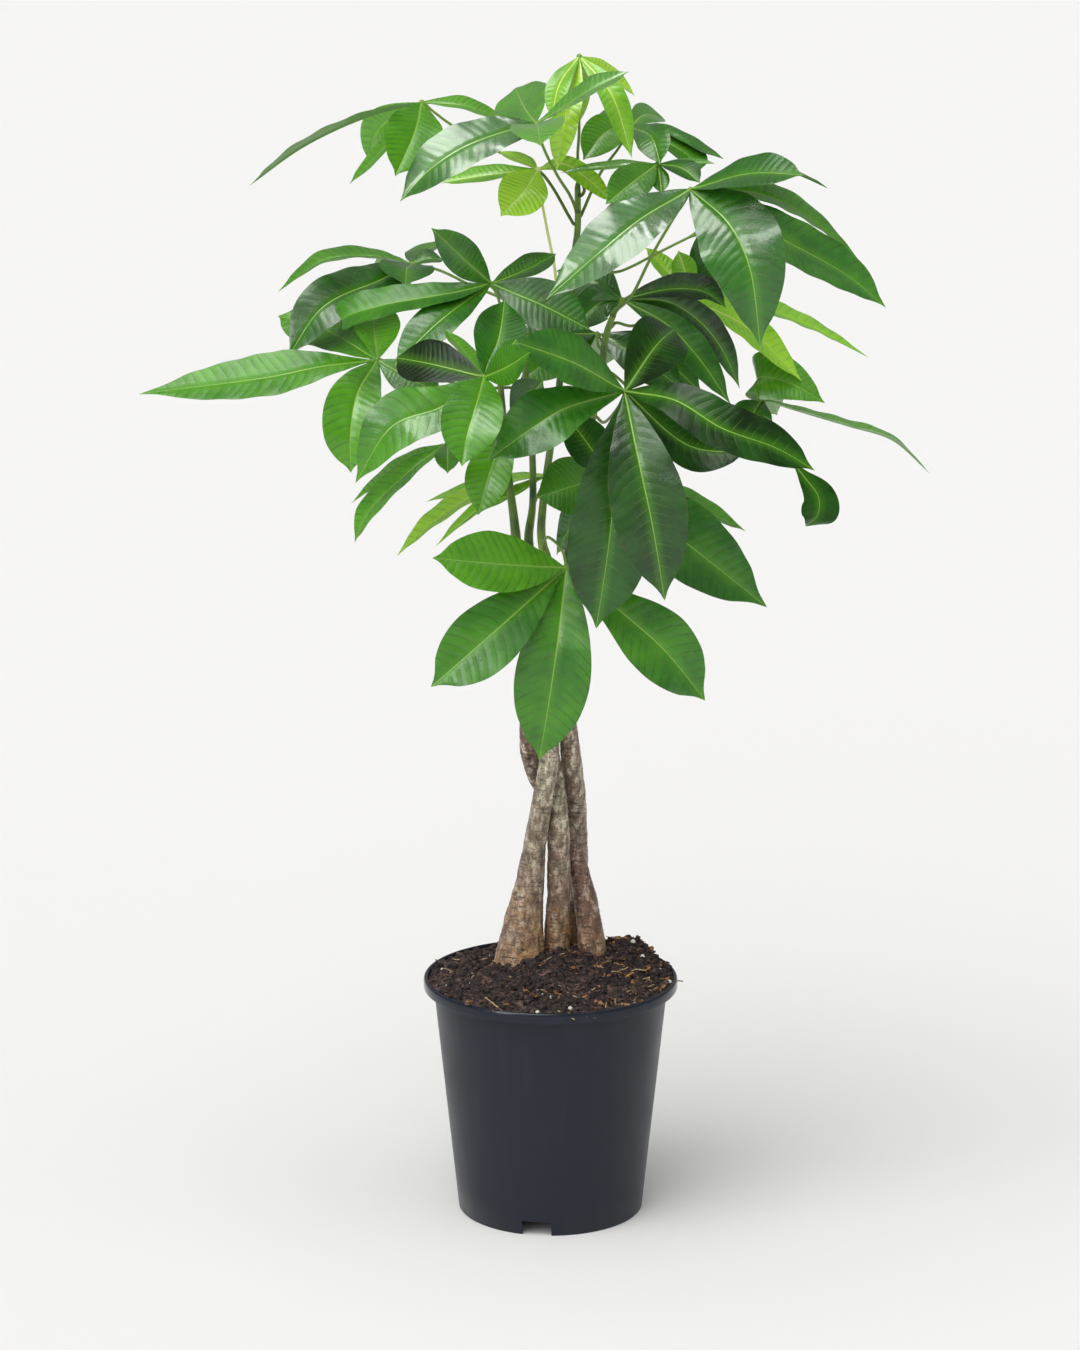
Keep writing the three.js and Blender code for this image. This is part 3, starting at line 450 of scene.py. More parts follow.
         "path": [[-133, 757, -54], [-171, 754, -48], [-207, 730, -44]]},
        {"wide": 42, "turn": 30, "shade": -0.15,
         "path": [[-129, 739, -22], [-173, 718, 10], [-200, 680, 18]]},
        {"wide": 42, "turn": 10, "path": [[-109, 747, -22], [-110, 735, 0]]},
        {"wide": 32, "turn": -62, "shade": 0.2, "path": [[-95, 760, -90], [-84, 769, -120]]},
        {"wide": 34, "turn": 180, "path": [[-120, 744, -108], [-134, 726, -150]]},
        {"wide": 24, "turn": -62, "path": [[-93, 755, -62], [-81, 754, -66]]},
     ]},
    {"name": "leaf_centre_back", "trunk": "trunk_1", "foot": 676,
     "stalk": [[36, 689, -70]], "hub": [35, 698, -92], "leaflets": [
        {"wide": 36, "turn": 45, "path": [[7, 698, -78], [-27, 696, -72]]},
        {"wide": 36, "turn": -20, "wax": 0.9, "path": [[68, 680, -76], [100, 655, -66]]},
        {"wide": 36, "turn": -30, "path": [[83, 680, -104], [115, 653, -106]]},
        {"wide": 40, "turn": 180, "path": [[37, 690, -150], [36, 670, -195]]},
        {"wide": 34, "turn": 10, "shade": 0.3, "path": [[8, 684, -86], [-24, 662, -80]]},
     ]},
    {"name": "leaf_right_hidden", "trunk": "trunk_3", "foot": 728,
     "stalk": [[37, 743, -30], [54, 746, -56], [84, 761, -84]], "hub": [112, 775, -100], "leaflets": [
        {"wide": 34, "turn": 20, "path": [[120, 758, -112], [130, 734, -120]]},
        {"wide": 38, "turn": -40, "path": [[142, 778, -122], [169, 769, -140]]},
        {"wide": 40, "turn": 0, "path": [[122, 792, -150], [132, 796, -195]]},
     ]},
]
print("leaves", len(leaves), "leaflets", sum(len(leaf["leaflets"]) for leaf in leaves))


# %% A place in the layout becomes a point in the frame
def place(across, up, near):
    seen = Vector((across, 0.0, up)) * MM
    return seen.lerp(EYE, near * MM / -EYE.y)


print("highest hub", [round(v, 3) for v in max((place(*leaf["hub"]) for leaf in leaves), key=lambda p: p.z)])

# %% [markdown]
# ## Smooth lines through points
# Stems and midribs bend smoothly, so every line is a Catmull-Rom curve: it passes through each of its
# points. The centripetal kind is used, because it never loops where two points are close together.

# %% A point and a direction on a smooth line, t from 0 to 1
TINY = 1e-7
NUDGE = 1e-4
LENGTH_STEPS = 40


def line_point(points, t):
    count = len(points)
    spot = t * (count - 1)
    first = min(int(spot), count - 2)
    weight = spot - first
    b, c = points[first], points[first + 1]
    a = points[first - 1] if first > 0 else b * 2 - c
    d = points[first + 2] if first + 2 < count else c * 2 - b
    ab, bc, cd = [max((q - p).length, TINY) ** 0.5 for p, q in ((a, b), (b, c), (c, d))]
    leave = ((b - a) / ab - (c - a) / (ab + bc) + (c - b) / bc) * bc
    arrive = ((c - b) / bc - (d - b) / (bc + cd) + (d - c) / cd) * bc
    square = (c - b) * 3 - leave * 2 - arrive
    cube = (b - c) * 2 + leave + arrive
    return b + leave * weight + square * weight ** 2 + cube * weight ** 3


def line_direction(points, t):
    low = max(0.0, t - NUDGE)
    high = min(1.0, t + NUDGE)
    return (line_point(points, high) - line_point(points, low)).normalized()


def line_length(points):
    stops = [line_point(points, i / LENGTH_STEPS) for i in range(LENGTH_STEPS + 1)]
    return sum((q - p).length for p, q in zip(stops, stops[1:]))


# %% A soft step from 0 to 1, and a value between two others
def smooth(value, low, high):
    share = min(1.0, max(0.0, (value - low) / (high - low)))
    return share * share * (3.0 - 2.0 * share)


def between(start, end, share):
    return start + (end - start) * share


print("soft step at a quarter", smooth(0.25, 0.0, 1.0))

# %% [markdown]
# ## Lines that carry what they need
# Geometry Nodes can sweep a ring along a line, and every point of the line may carry values of its own.
# Each point here holds its middle, the two directions across it (side and up), its half width or
# radius, its thickness and its run, which is how far along the line it is. A leaflet's points also hold
# the gap between its side veins, its tone, fold and wax, and a trunk's points how woody it is. The tree
# then only has to follow one formula.

# %% A mesh of open lines with those values on its points
VALUES = {"middle": 3, "side": 3, "up": 3, "half": 1, "thick": 1, "run": 1, "gap": 1, "tone": 1,
          "blade": 1, "woody": 1, "fold": 1, "wax": 1}


def lines_to_mesh(name, lines):
    rows = [row for line in lines for row in line]
    mesh = bpy.data.meshes.new(name)
    edges = []
    start = 0
    for line in lines:
        edges += [(start + i, start + i + 1) for i in range(len(line) - 1)]
        start += len(line)
    mesh.from_pydata([row["middle"] for row in rows], edges, [])
    for value, size in VALUES.items():
        if size == 3:
            layer = mesh.attributes.new(value, "FLOAT_VECTOR", "POINT")
            layer.data.foreach_set("vector", [c for row in rows for c in row[value]])
        else:
            layer = mesh.attributes.new(value, "FLOAT", "POINT")
            layer.data.foreach_set("value", [row.get(value, 0.0) for row in rows])
    return mesh


# %% A tree of nodes grows a piece from its lines, and the result is kept as a plain mesh
ONLY_FOR_GROWING = ("middle", "side", "up", "thick", "blade", "fold")


def inlet(tree, name, kind, value=None):
    socket = tree.interface.new_socket(name, in_out="INPUT", socket_type=kind)
    if value is not None:
        socket.default_value = value


def grow(name, mesh, tree, settings):
    seed = bpy.data.objects.new(name + "_lines", mesh)
    bpy.context.scene.collection.objects.link(seed)
    modifier = seed.modifiers.new("grow", "NODES")
    modifier.node_group = tree
    for socket in tree.interface.items_tree:
        if socket.name in settings:
            modifier[socket.identifier] = settings[socket.name]
    ready = bpy.context.evaluated_depsgraph_get()
    grown = bpy.data.meshes.new_from_object(seed.evaluated_get(ready), preserve_all_data_layers=True,
                                            depsgraph=ready)
    seed.modifiers.clear()
    bpy.data.objects.remove(seed)
    for layer in ONLY_FOR_GROWING:
        if layer in grown.attributes:
            grown.attributes.remove(grown.attributes[layer])
    grown.name = name
    piece = bpy.data.objects.new(name, grown)
    bpy.context.scene.collection.objects.link(piece)
    return piece


def triangles(piece):
    return sum(len(face.vertices) - 2 for face in piece.data.polygons)


# %% [markdown]
# ## Leaf blades
# A Pachira leaflet is a thin leathery blade. Its midrib lies in a shallow groove and its side veins run
# out at a slant, about one every 3 to 8 mm, and the blade puffs up a little between them. That quilting
# catches the light in pale streaks, so it is real shape here and not only a picture of it. A flat
# ring of points is swept along the midrib, and one formula lifts each point.

# %% Half the width of a leaflet on its way from hub to tip, in metres
ROOT_HALF = 1.3 * MM
TIP_HALF = 0.15 * MM
USUAL_PEAK = 0.56
FULL_BEFORE_PEAK = 0.78
FULL_AT_TIP = 0.95
DRIP_TIP_FROM, DRIP_TIP_TO = 0.87, 0.98
DRIP_TIP_PINCH = 0.42


def half_width(leaflet, along):
    bare = leaflet.get("bare", 0.0)
    peak = leaflet.get("peak", USUAL_PEAK)
    share = max(0.0, (along - bare) / (1.0 - bare))
    swell = math.sin(math.pi * share ** (math.log(0.5) / math.log(peak))) if share < 1 else 0.0
    fullness = between(FULL_BEFORE_PEAK, FULL_AT_TIP, smooth(share, peak, 1.0))
    body = max(0.0, swell) ** fullness
    tail = 1.0 - DRIP_TIP_PINCH * smooth(share, DRIP_TIP_FROM, DRIP_TIP_TO)
    least = ROOT_HALF if along < 0.5 else TIP_HALF
    return max(least, leaflet["wide"] / 2 * MM * body * tail)


widest = max((leaflet for leaf in leaves for leaflet in leaf["leaflets"]), key=lambda row: row["wide"])
print("half the widest leaflet, from hub to tip", [round(half_width(widest, t / 5), 4) for t in range(6)])

# %% The midrib of one leaflet, point by point
STEP = 1.5 * MM
FEWEST_STEPS = 18
BLADE_THICK = 0.5 * MM
ROOT_THICK = 2.0 * MM
ROOT_ENDS = 0.12
TIP_STARTS = 0.93
TIP_THINNER = 0.6
SIDE_VEINS = 17
CLOSEST_VEINS, WIDEST_VEINS = 3.2 * MM, 8.0 * MM
USUAL_WAX = 0.25
LAST_SECTION = 0.998


def midrib(hub, leaflet, tone):
    points = [hub] + [place(*spot) for spot in leaflet["path"]]
    chord = (points[-1] - hub).normalized()
    sight = (EYE - line_point(points, 0.5)).normalized()
    facing = (sight - chord * sight.dot(chord)).normalized()
    face = Matrix.Rotation(math.radians(leaflet["turn"]), 3, chord) @ facing
    side = chord.cross(face)
    length = line_length(points)
    same = {"tone": tone, "blade": 1.0, "fold": leaflet.get("fold", 1.0),
            "wax": leaflet.get("wax", USUAL_WAX),
            "gap": min(WIDEST_VEINS, max(CLOSEST_VEINS, length / SIDE_VEINS))}
    count = max(FEWEST_STEPS, round(length / STEP))
    rows = []
    run = 0.0
    last = hub
    for i in range(count + 1):
        t = min(i / count, LAST_SECTION)
        middle = line_point(points, t)
        direction = line_direction(points, t)
        across = (side - direction * side.dot(direction)).normalized()
        run += (middle - last).length
        last = middle
        body = between(ROOT_THICK, BLADE_THICK, smooth(t, 0.0, ROOT_ENDS))
        thick = body * (1.0 - TIP_THINNER * smooth(t, TIP_STARTS, 1.0))
        rows.append({**same, "middle": middle, "side": across, "up": across.cross(direction),
                     "half": half_width(leaflet, t), "run": run, "thick": thick})
    return rows


# %% Rings of points, flat for a blade and round for a stem, that know their place on the ring
CROWD_AT_RIB = 1.6
LENS_POWER = 4.0


def sweep(tree, lines, ring):
    rail = put(tree, "GeometryNodeMeshToCurve", (lines,))
    return put(tree, TUBE, {"Curve": rail, "Profile Curve": ring, "Fill Caps": True})


def flat_ring(tree, count):
    circle = put(tree, CIRCLE, {"Resolution": count, "Radius": 1.0}, mode="RADIUS")
    index = put(tree, "GeometryNodeInputIndex")
    turn = put(tree, MATH, (index, count), operation="DIVIDE")
    from_half = put(tree, MATH, (turn, 0.5), operation="SUBTRACT")
    away = put(tree, MATH, (from_half,), operation="ABSOLUTE")
    reach = put(tree, MATH, (away, -4.0, 1.0), operation="MULTIPLY_ADD")
    way = put(tree, MATH, (reach,), operation="SIGN")
    length = put(tree, MATH, (reach,), operation="ABSOLUTE")
    size = put(tree, MATH, (length, CROWD_AT_RIB), operation="POWER")
    across = put(tree, MATH, (way, size), operation="MULTIPLY")
    edge = put(tree, MATH, (size, LENS_POWER), operation="POWER")
    inside = put(tree, MATH, (1.0, edge), operation="SUBTRACT", use_clamp=True)
    lens = put(tree, MATH, (inside,), operation="SQRT")
    to_half = put(tree, MATH, (0.5, turn), operation="SUBTRACT")
    top = put(tree, MATH, (to_half,), operation="SIGN")
    skin = put(tree, MATH, (lens, top), operation="MULTIPLY")
    ring = put(tree, STORE, (circle, None, "across", across), data_type="FLOAT")
    return put(tree, STORE, (ring, None, "skin", skin), data_type="FLOAT")


def round_ring(tree, count):
    circle = put(tree, CIRCLE, {"Resolution": count, "Radius": 1.0}, mode="RADIUS")
    turn = put(tree, MATH, (put(tree, "GeometryNodeInputIndex"), count), operation="DIVIDE")
    angle = put(tree, MATH, (turn, 2 * math.pi), operation="MULTIPLY")
    return put(tree, STORE, (circle, None, "angle", angle), data_type="FLOAT")


# %% Each swept point goes to its place beside and above the middle of its line
def at_offset(tree, body, sideways, lift):
    middle, side, up = (put(tree, NAMED, (name,), data_type="FLOAT_VECTOR")
                        for name in ("middle", "side", "up"))
    beside = put(tree, VECTOR, (side, sideways), operation="SCALE")
    above = put(tree, VECTOR, (up, lift), operation="SCALE")
    offset = put(tree, VECTOR, (beside, above), operation="ADD")
    spot = put(tree, VECTOR, (middle, offset), operation="ADD")
    return put(tree, MOVE, (body, None, spot))


def round_stem(tree, lines, count):
    body = sweep(tree, lines, round_ring(tree, count))
    angle, radius = (put(tree, NAMED, (name,)) for name in ("angle", "half"))
    cosine = put(tree, MATH, (angle,), operation="COSINE")
    sine = put(tree, MATH, (angle,), operation="SINE")
    sideways = put(tree, MATH, (cosine, radius), operation="MULTIPLY")
    lift = put(tree, MATH, (sine, radius), operation="MULTIPLY")
    return at_offset(tree, body, sideways, lift)


# %% How many side veins a point has passed; they slant, and no two gaps are quite the same
VEIN_SLANT = 0.3
VEIN_BEND = 12.0
STAGGER = 0.25
UNEVEN = 0.9
NEAR_RIB_SHARE = 0.02
LUCK_SIZE = 16.67
HALVES_APART = 9.0
LEAFLETS_APART = 31.0


def veins_passed(tree, across, out, run, gap, tone):
    slant = put(tree, MATH, (out, VEIN_BEND, VEIN_SLANT), operation="MULTIPLY_ADD")
    ahead = put(tree, MATH, (out, slant), operation="MULTIPLY")
    start = put(tree, MATH, (run, ahead), operation="SUBTRACT")
    count = put(tree, MATH, (start, gap), operation="DIVIDE")
    stagger = put(tree, RANGE, (across, -NEAR_RIB_SHARE, NEAR_RIB_SHARE, -STAGGER, STAGGER))
    along = put(tree, MATH, (start, per_metre(LUCK_SIZE)), operation="MULTIPLY")
    which_half = put(tree, MATH, (stagger, HALVES_APART), operation="MULTIPLY")
    which_leaflet = put(tree, MATH, (tone, LEAFLETS_APART), operation="MULTIPLY")
    lane = put(tree, "ShaderNodeCombineXYZ", (along, which_half, which_leaflet))
    luck = put(tree, NOISE, {"Vector": lane, "Scale": 1.0, "Detail": 0.0})
    shift = put(tree, MATH, (luck, UNEVEN, stagger), operation="MULTIPLY_ADD")
    return put(tree, MATH, (count, shift), operation="ADD")


# %% The blade puffs up between its side veins, but not at its midrib or its edge
PUFF_POWER = 0.6
FLAT_AT_RIB = 5.0 * MM
FLAT_AT_EDGE_POWER = 6.0


def quilting(tree, vein, out, edge, half, size):
    to_vein = put(tree, MATH, (vein, 0.5), operation="PINGPONG")
    rise = put(tree, MATH, (to_vein, 2.0), operation="MULTIPLY")
    puff = put(tree, MATH, (rise, PUFF_POWER), operation="POWER")
    inner = put(tree, RANGE, (out, 0.0, FLAT_AT_RIB, 0.0, 1.0))
    rim = put(tree, MATH, (edge, FLAT_AT_EDGE_POWER), operation="POWER")
    outer = put(tree, MATH, (1.0, rim), operation="SUBTRACT")
    fade = put(tree, MATH, (inner, outer), operation="MULTIPLY")
    height = put(tree, MATH, (half, size), operation="MULTIPLY")
    puffed = put(tree, MATH, (puff, fade), operation="MULTIPLY")
    return put(tree, MATH, (puffed, height), operation="MULTIPLY")


# %% The midrib is a groove on top and a keel below, which is deeper where the leaflet is wide
RIB_REACH = 2.2 * MM
NO_KEEL, FULL_KEEL = 2.0 * MM, 14.0 * MM
BELOW_SKIN = -0.3


def rib_depth(tree, skin, out, half, groove, keel):
    near_rib = put(tree, RANGE, (out, 0.0, RIB_REACH, 1.0, 0.0), interpolation_type="SMOOTHSTEP")
    grooved = put(tree, MATH, (near_rib, groove), operation="MULTIPLY")
    below = put(tree, RANGE, (skin, BELOW_SKIN, 0.0, 1.0, 0.0))
    keel_size = put(tree, RANGE, (half, NO_KEEL, FULL_KEEL, 0.0, keel))
    under = put(tree, MATH, (near_rib, below), operation="MULTIPLY")
    hung = put(tree, MATH, (under, keel_size), operation="MULTIPLY")
    return put(tree, MATH, (grooved, hung), operation="ADD")


# %% Its two halves fold up from the midrib, and its edge waves a little
FOLD_POWER = 1.25
WAVE_LENGTH = 27.0 * MM
WAVE_POWER = 3.0
WAVES_APART = 40.0


def fold_and_wave(tree, edge, half, run, tone, fold, wave):
    bent = put(tree, MATH, (edge, FOLD_POWER), operation="POWER")
    bend = put(tree, MATH, (bent, half), operation="MULTIPLY")
    folded = put(tree, MATH, (bend, fold), operation="MULTIPLY")
    start = put(tree, MATH, (tone, WAVES_APART), operation="MULTIPLY")
    phase = put(tree, MATH, (run, 2 * math.pi / WAVE_LENGTH, start), operation="MULTIPLY_ADD")
    sine = put(tree, MATH, (phase,), operation="SINE")
    ripple = put(tree, MATH, (sine, wave), operation="MULTIPLY")
    near_edge = put(tree, MATH, (edge, WAVE_POWER), operation="POWER")
    rim = put(tree, MATH, (near_edge, half), operation="MULTIPLY")
    waved = put(tree, MATH, (ripple, rim), operation="MULTIPLY")
    return put(tree, MATH, (folded, waved), operation="ADD")


# %% All of it together lifts the points of a blade; the rim line stays sharp
RIM_LINE = 0.001


def blade_body(tree, lines, feed):
    body = sweep(tree, lines, flat_ring(tree, feed["Blade ring"]))
    across, skin, half, run, gap, tone, thick, fold = (
        put(tree, NAMED, (name,))
        for name in ("across", "skin", "half", "run", "gap", "tone", "thick", "fold"))
    sideways = put(tree, MATH, (across, half), operation="MULTIPLY")
    out = put(tree, MATH, (sideways,), operation="ABSOLUTE")
    edge = put(tree, MATH, (across,), operation="ABSOLUTE")
    vein = veins_passed(tree, across, out, run, gap, tone)
    body = put(tree, STORE, (body, None, "vein", vein), data_type="FLOAT")
    quilt = quilting(tree, vein, out, edge, half, feed["Quilting"])
    share = put(tree, MATH, (fold, feed["Fold"]), operation="MULTIPLY")
    bent = fold_and_wave(tree, edge, half, run, tone, share, feed["Edge wave"])
    raised = put(tree, MATH, (bent, quilt), operation="ADD")
    depth = rib_depth(tree, skin, out, half, feed["Rib groove"], feed["Keel"])
    middle = put(tree, MATH, (raised, depth), operation="SUBTRACT")
    skin_side = put(tree, MATH, (skin, 0.5), operation="MULTIPLY")
    lift = put(tree, MATH, (skin_side, thick, middle), operation="MULTIPLY_ADD")
    body = at_offset(tree, body, sideways, lift)
    height = put(tree, MATH, (skin,), operation="ABSOLUTE")
    rim = put(tree, COMPARE, (height, RIM_LINE), data_type="FLOAT", operation="LESS_THAN")
    return put(tree, SHADE, (body, rim, False), domain="EDGE")


# %% The tree of nodes for a compound leaf
def leaf_tree():
    tree = bpy.data.node_groups.new("compound_leaf", "GeometryNodeTree")
    inlet(tree, "Lines", "NodeSocketGeometry")
    inlet(tree, "Blade ring", "NodeSocketInt", 32)
    inlet(tree, "Stalk ring", "NodeSocketInt", 10)
    inlet(tree, "Quilting", "NodeSocketFloat", 0.017)
    inlet(tree, "Rib groove", "NodeSocketFloat", 0.5 * MM)
    inlet(tree, "Keel", "NodeSocketFloat", 0.6 * MM)
    inlet(tree, "Fold", "NodeSocketFloat", 0.17)
    inlet(tree, "Edge wave", "NodeSocketFloat", 0.03)
    inlet(tree, "Blade", "NodeSocketMaterial")
    inlet(tree, "Stalk", "NodeSocketMaterial")
    tree.interface.new_socket("Leaf", in_out="OUTPUT", socket_type="NodeSocketGeometry")
    feed = tree.nodes.new("NodeGroupInput").outputs
    blade = put(tree, NAMED, ("blade",))
    is_blade = put(tree, COMPARE, (blade, 0.5), data_type="FLOAT", operation="GREATER_THAN")
    split = put(tree, "GeometryNodeSeparateGeometry", (feed["Lines"], is_blade), domain="POINT")
    blades = blade_body(tree, split.outputs["Selection"], feed)
    stalk = round_stem(tree, split.outputs["Inverted"], feed["Stalk ring"])
    both = put(tree, JOIN)
    for part in (stalk, blades):
        tree.links.new(part.outputs[0], both.inputs[0])
    even = put(tree, SHADE, (both,), domain="FACE")
    real = put(tree, REAL, (even,))
    green = put(tree, DRESS, (real, None, feed["Stalk"]))
    done = put(tree, DRESS, (green, is_blade, feed["Blade"]))
    put(tree, "NodeGroupOutput", (done,))
    return tree


compound_leaf = leaf_tree()
print("leaf tree", len(compound_leaf.nodes), "nodes")

# %% [markdown]
# ## Trunks and stalks
# Each trunk is one shoot: brown corky bark with fine cross marks below, and a smooth green stem above
# the braid. A leaf's stalk is thin and round and swells a little at both ends, where it joins the
# trunk and where it carries its leaflets. They could be bevelled curves, but the bark has to know how
# woody and how red it is at each height, and a sweep in Geometry Nodes passes such values on. So both
# are a round ring swept along a line.

# %% A trunk's line, and the place on it at a height
HALVINGS = 30


def trunk_points(name):
    return [place(*row[:3]) for row in trunks[name]]


def trunk_radius(name, t):
    radii = [row[3] * MM for row in trunks[name]]
    spot = t * (len(radii) - 1)
    low = min(int(spot), len(radii) - 2)
    return between(radii[low], radii[low + 1], spot - low)


def trunk_at(name, height):
    points = trunk_points(name)
    low, high = 0.0, 1.0
    for _ in range(HALVINGS):
        middle = (low + high) / 2
        if line_point(points, middle).z < height:
            low = middle
        else:
            high = middle
    return line_point(points, low), line_direction(points, low), trunk_radius(name, low)


print("trunk_1 at 0.3 m is", round(trunk_at("trunk_1", 0.3)[2] * 2, 4), "m thick")


# %% The points of a round stem, with directions across it that never twist, and a round end
FIRST_SIDE = Vector((1.0, 0.3, 0.1))


def stem_rows(points, radius, count, **extra):
    out = FIRST_SIDE
    rows = []
    run = 0.0
    last = points[0]
    for i in range(count + 1):
        t = i / count
        middle = line_point(points, t)
        direction = line_direction(points, t)
        out = (out - direction * out.dot(direction)).normalized()
        run += (middle - last).length
        last = middle
        row = {"middle": middle, "side": out, "up": direction.cross(out), "half": radius(t),
               "run": run, "blade": 0.0}
        row.update({name: rule(t) for name, rule in extra.items()})
        rows.append(row)
    return rows


def round_off(rows, steps):
    last = rows[-1]
    onward = last["side"].cross(last["up"])
    for step, share in steps:
        rows.append({**last, "middle": last["middle"] + onward * step * MM, "half": last["half"] * share})
    return rows


# %% A leaf's stalk, from inside its trunk to its hub; its sizes are in millimetres
STALK_ROOT_SHARE = 0.55
STALK_CLEAR = 0.65
STALK_OUT, STALK_UP = 3.0, 4.0
STALK_STEP = 2.5
FEWEST_STALK_STEPS = 12
STALK_RADIUS = (1.4, 1.0)
FOOT = {"swell": 0.9, "from": 3.0, "to": 12.0}
KNOB = {"swell": 1.2, "from": 1.0, "to": 7.0}
KNOB_END = ((0.9, 0.85), (1.6, 0.5), (2.0, 0.12))


def swelling(distance, end):
    return end["swell"] * (1.0 - smooth(distance, end["from"], end["to"]))


def stalk_rows(leaf):
    centre, along, radius = trunk_at(leaf["trunk"], leaf["foot"] * MM)
    toward = place(*leaf["stalk"][0]) - centre
    away = (toward - along * toward.dot(along)).normalized()
    root = centre + away * (radius * STALK_ROOT_SHARE)
    start = centre + away * (radius + STALK_CLEAR * MM)
    bend = start + away * STALK_OUT * MM + along * STALK_UP * MM
    points = [root, start, bend] + [place(*spot) for spot in (*leaf["stalk"], leaf["hub"])]
    length = line_length(points) / MM

    def thickness(t):
        swell = swelling(t * length, FOOT) + swelling((1.0 - t) * length, KNOB)
        return (between(*STALK_RADIUS, t) + swell) * MM

    count = max(FEWEST_STALK_STEPS, round(length / STALK_STEP))
    rows = stem_rows(points, thickness, count, tone=lambda t: t + leaf.get("pale", 0.0))
    return round_off(rows, KNOB_END)


# %% The tree of nodes for a trunk: a round stem, then relief of three sizes in millimetres on it
LUMP_SIZE = 23.81
RIDGE_SIZE = (5.263, 5.263, 16.667)
MARK_SIZE = (11.765, 11.765, 2.1739)


def bark_relief(tree, feed):
    spot = put(tree, "GeometryNodeInputPosition")
    lumps = put(tree, NOISE, {"Vector": spot, "Scale": per_metre(LUMP_SIZE), "Detail": 2.0})
    long_way = put(tree, VECTOR, (spot, per_metre(*RIDGE_SIZE)), operation="MULTIPLY")
    ridges = put(tree, NOISE, {"Vector": long_way, "Scale": 1.0, "Detail": 4.0})
    cross_way = put(tree, VECTOR, (spot, per_metre(*MARK_SIZE)), operation="MULTIPLY")
    marks = put(tree, NOISE, {"Vector": cross_way, "Scale": 1.0, "Detail": 2.0})
    lump = put(tree, RANGE, (lumps, 0.3, 0.7, -0.5, 0.5))
    ridge = put(tree, RANGE, (ridges, 0.3, 0.7, -0.5, 0.5))
    mark = put(tree, RANGE, (marks, 0.56, 0.68, 0.0, -1.0))
    low = put(tree, MATH, (lump, feed["Lumps"]), operation="MULTIPLY")
    high = put(tree, MATH, (ridge, feed["Bark relief"], low), operation="MULTIPLY_ADD")
    step = put(tree, MATH, (mark, feed["Cross marks"], high), operation="MULTIPLY_ADD")
    return put(tree, MATH, (step, put(tree, NAMED, ("woody",))), operation="MULTIPLY")


def trunk_tree():
    tree = bpy.data.node_groups.new("braided_trunk", "GeometryNodeTree")
    inlet(tree, "Lines", "NodeSocketGeometry")
    inlet(tree, "Ring", "NodeSocketInt", 48)
    inlet(tree, "Lumps", "NodeSocketFloat", 0.8 * MM)
    inlet(tree, "Bark relief", "NodeSocketFloat", 1.0 * MM)
    inlet(tree, "Cross marks", "NodeSocketFloat", 0.5 * MM)
    inlet(tree, "Bark", "NodeSocketMaterial")
    tree.interface.new_socket("Trunk", in_out="OUTPUT", socket_type="NodeSocketGeometry")
    feed = tree.nodes.new("NodeGroupInput").outputs
    stem = round_stem(tree, feed["Lines"], feed["Ring"])
    outward = put(tree, "GeometryNodeInputNormal")
    push = put(tree, VECTOR, (outward, bark_relief(tree, feed)), operation="SCALE")
    shaped = put(tree, MOVE, (stem, None, None, push))
    even = put(tree, SHADE, (shaped,), domain="FACE")
    real = put(tree, REAL, (even,))
    put(tree, "NodeGroupOutput", (put(tree, DRESS, (real, None, feed["Bark"])),))
    return tree


braided_trunk = trunk_tree()
print("trunk tree", len(braided_trunk.nodes), "nodes")

# %% [markdown]
# ## Finishes of the living parts
# A leaf's colour comes from the plant: a deep green blade, paler and yellower along its veins, dull and
# light on its underside. How light a leaflet's green is also holds painted light and shade: leaflets
# in the shadow of others are painted darker, and some that face away from the lamps are painted
# lighter. The wax on top gives a soft wide gloss. The swept mesh carries how far each point is across
# the blade and how many side veins it has passed, so the veins painted here lie exactly in the
# grooves of the quilting, and the dark furrow along each side vein is painted shade in its groove.
# The finest net of veins is under a millimetre wide on the plant. It is drawn 1.4 mm wide here, so
# that it shows, and it is only bump. A stalk is as smooth as a blade, brownish at its foot and
# yellow-green at its hub, and a pale leaf's stalk is painted paler, partly its own pale green and
# partly painted light where it hangs in shade.

# %% Painted veins: painted shade in the furrow along each side vein, a pale thread along it, and the tapering midrib
FURROW_SHADE_WIDTH = 1.2 * MM
THREAD_CORE, THREAD = 0.1 * MM, 0.6 * MM
RIB_AT_HUB, RIB_AT_TIP = 0.9 * MM, 0.24 * MM


def vein_lines(tree, out, edge, vein, gap, run):
    to_vein = put(tree, MATH, (vein, 0.5), operation="PINGPONG")
    nearest = put(tree, MATH, (to_vein, gap), operation="MULTIPLY")
    # The furrow is painted shade: the blade dips into a groove at each side vein, and that groove is painted
    # darker.
    furrow_shade = put(tree, RANGE, (nearest, 0.0, FURROW_SHADE_WIDTH, 1.0, 0.0), interpolation_type="SMOOTHSTEP")
    thread = put(tree, RANGE, (nearest, THREAD_CORE, THREAD, 1.0, 0.0), interpolation_type="SMOOTHSTEP")
    thin_out = put(tree, RANGE, (edge, 0.1, 0.75, 0.22, 0.0))
    side_vein = put(tree, MATH, (thread, thin_out), operation="MULTIPLY")
    length = put(tree, MATH, (gap, float(SIDE_VEINS)), operation="MULTIPLY")
    along = put(tree, MATH, (run, length), operation="DIVIDE")
    rib_half = put(tree, RANGE, (along, 0.0, 1.0, RIB_AT_HUB, RIB_AT_TIP))
    from_rib = put(tree, MATH, (out, rib_half), operation="DIVIDE")
    rib = put(tree, RANGE, (from_rib, 0.5, 1.2, 0.85, 0.0), interpolation_type="SMOOTHSTEP")
    return furrow_shade, put(tree, MATH, (side_vein, rib), operation="MAXIMUM")


# %% Bump of a leaf: soft pillows between its side veins, and over them the fine net of veins
NET = 1.4286
NET_DEPTH = 0.2 * MM
PILLOW_FROM, PILLOW_FULL = 0.5 * MM, 4.0 * MM


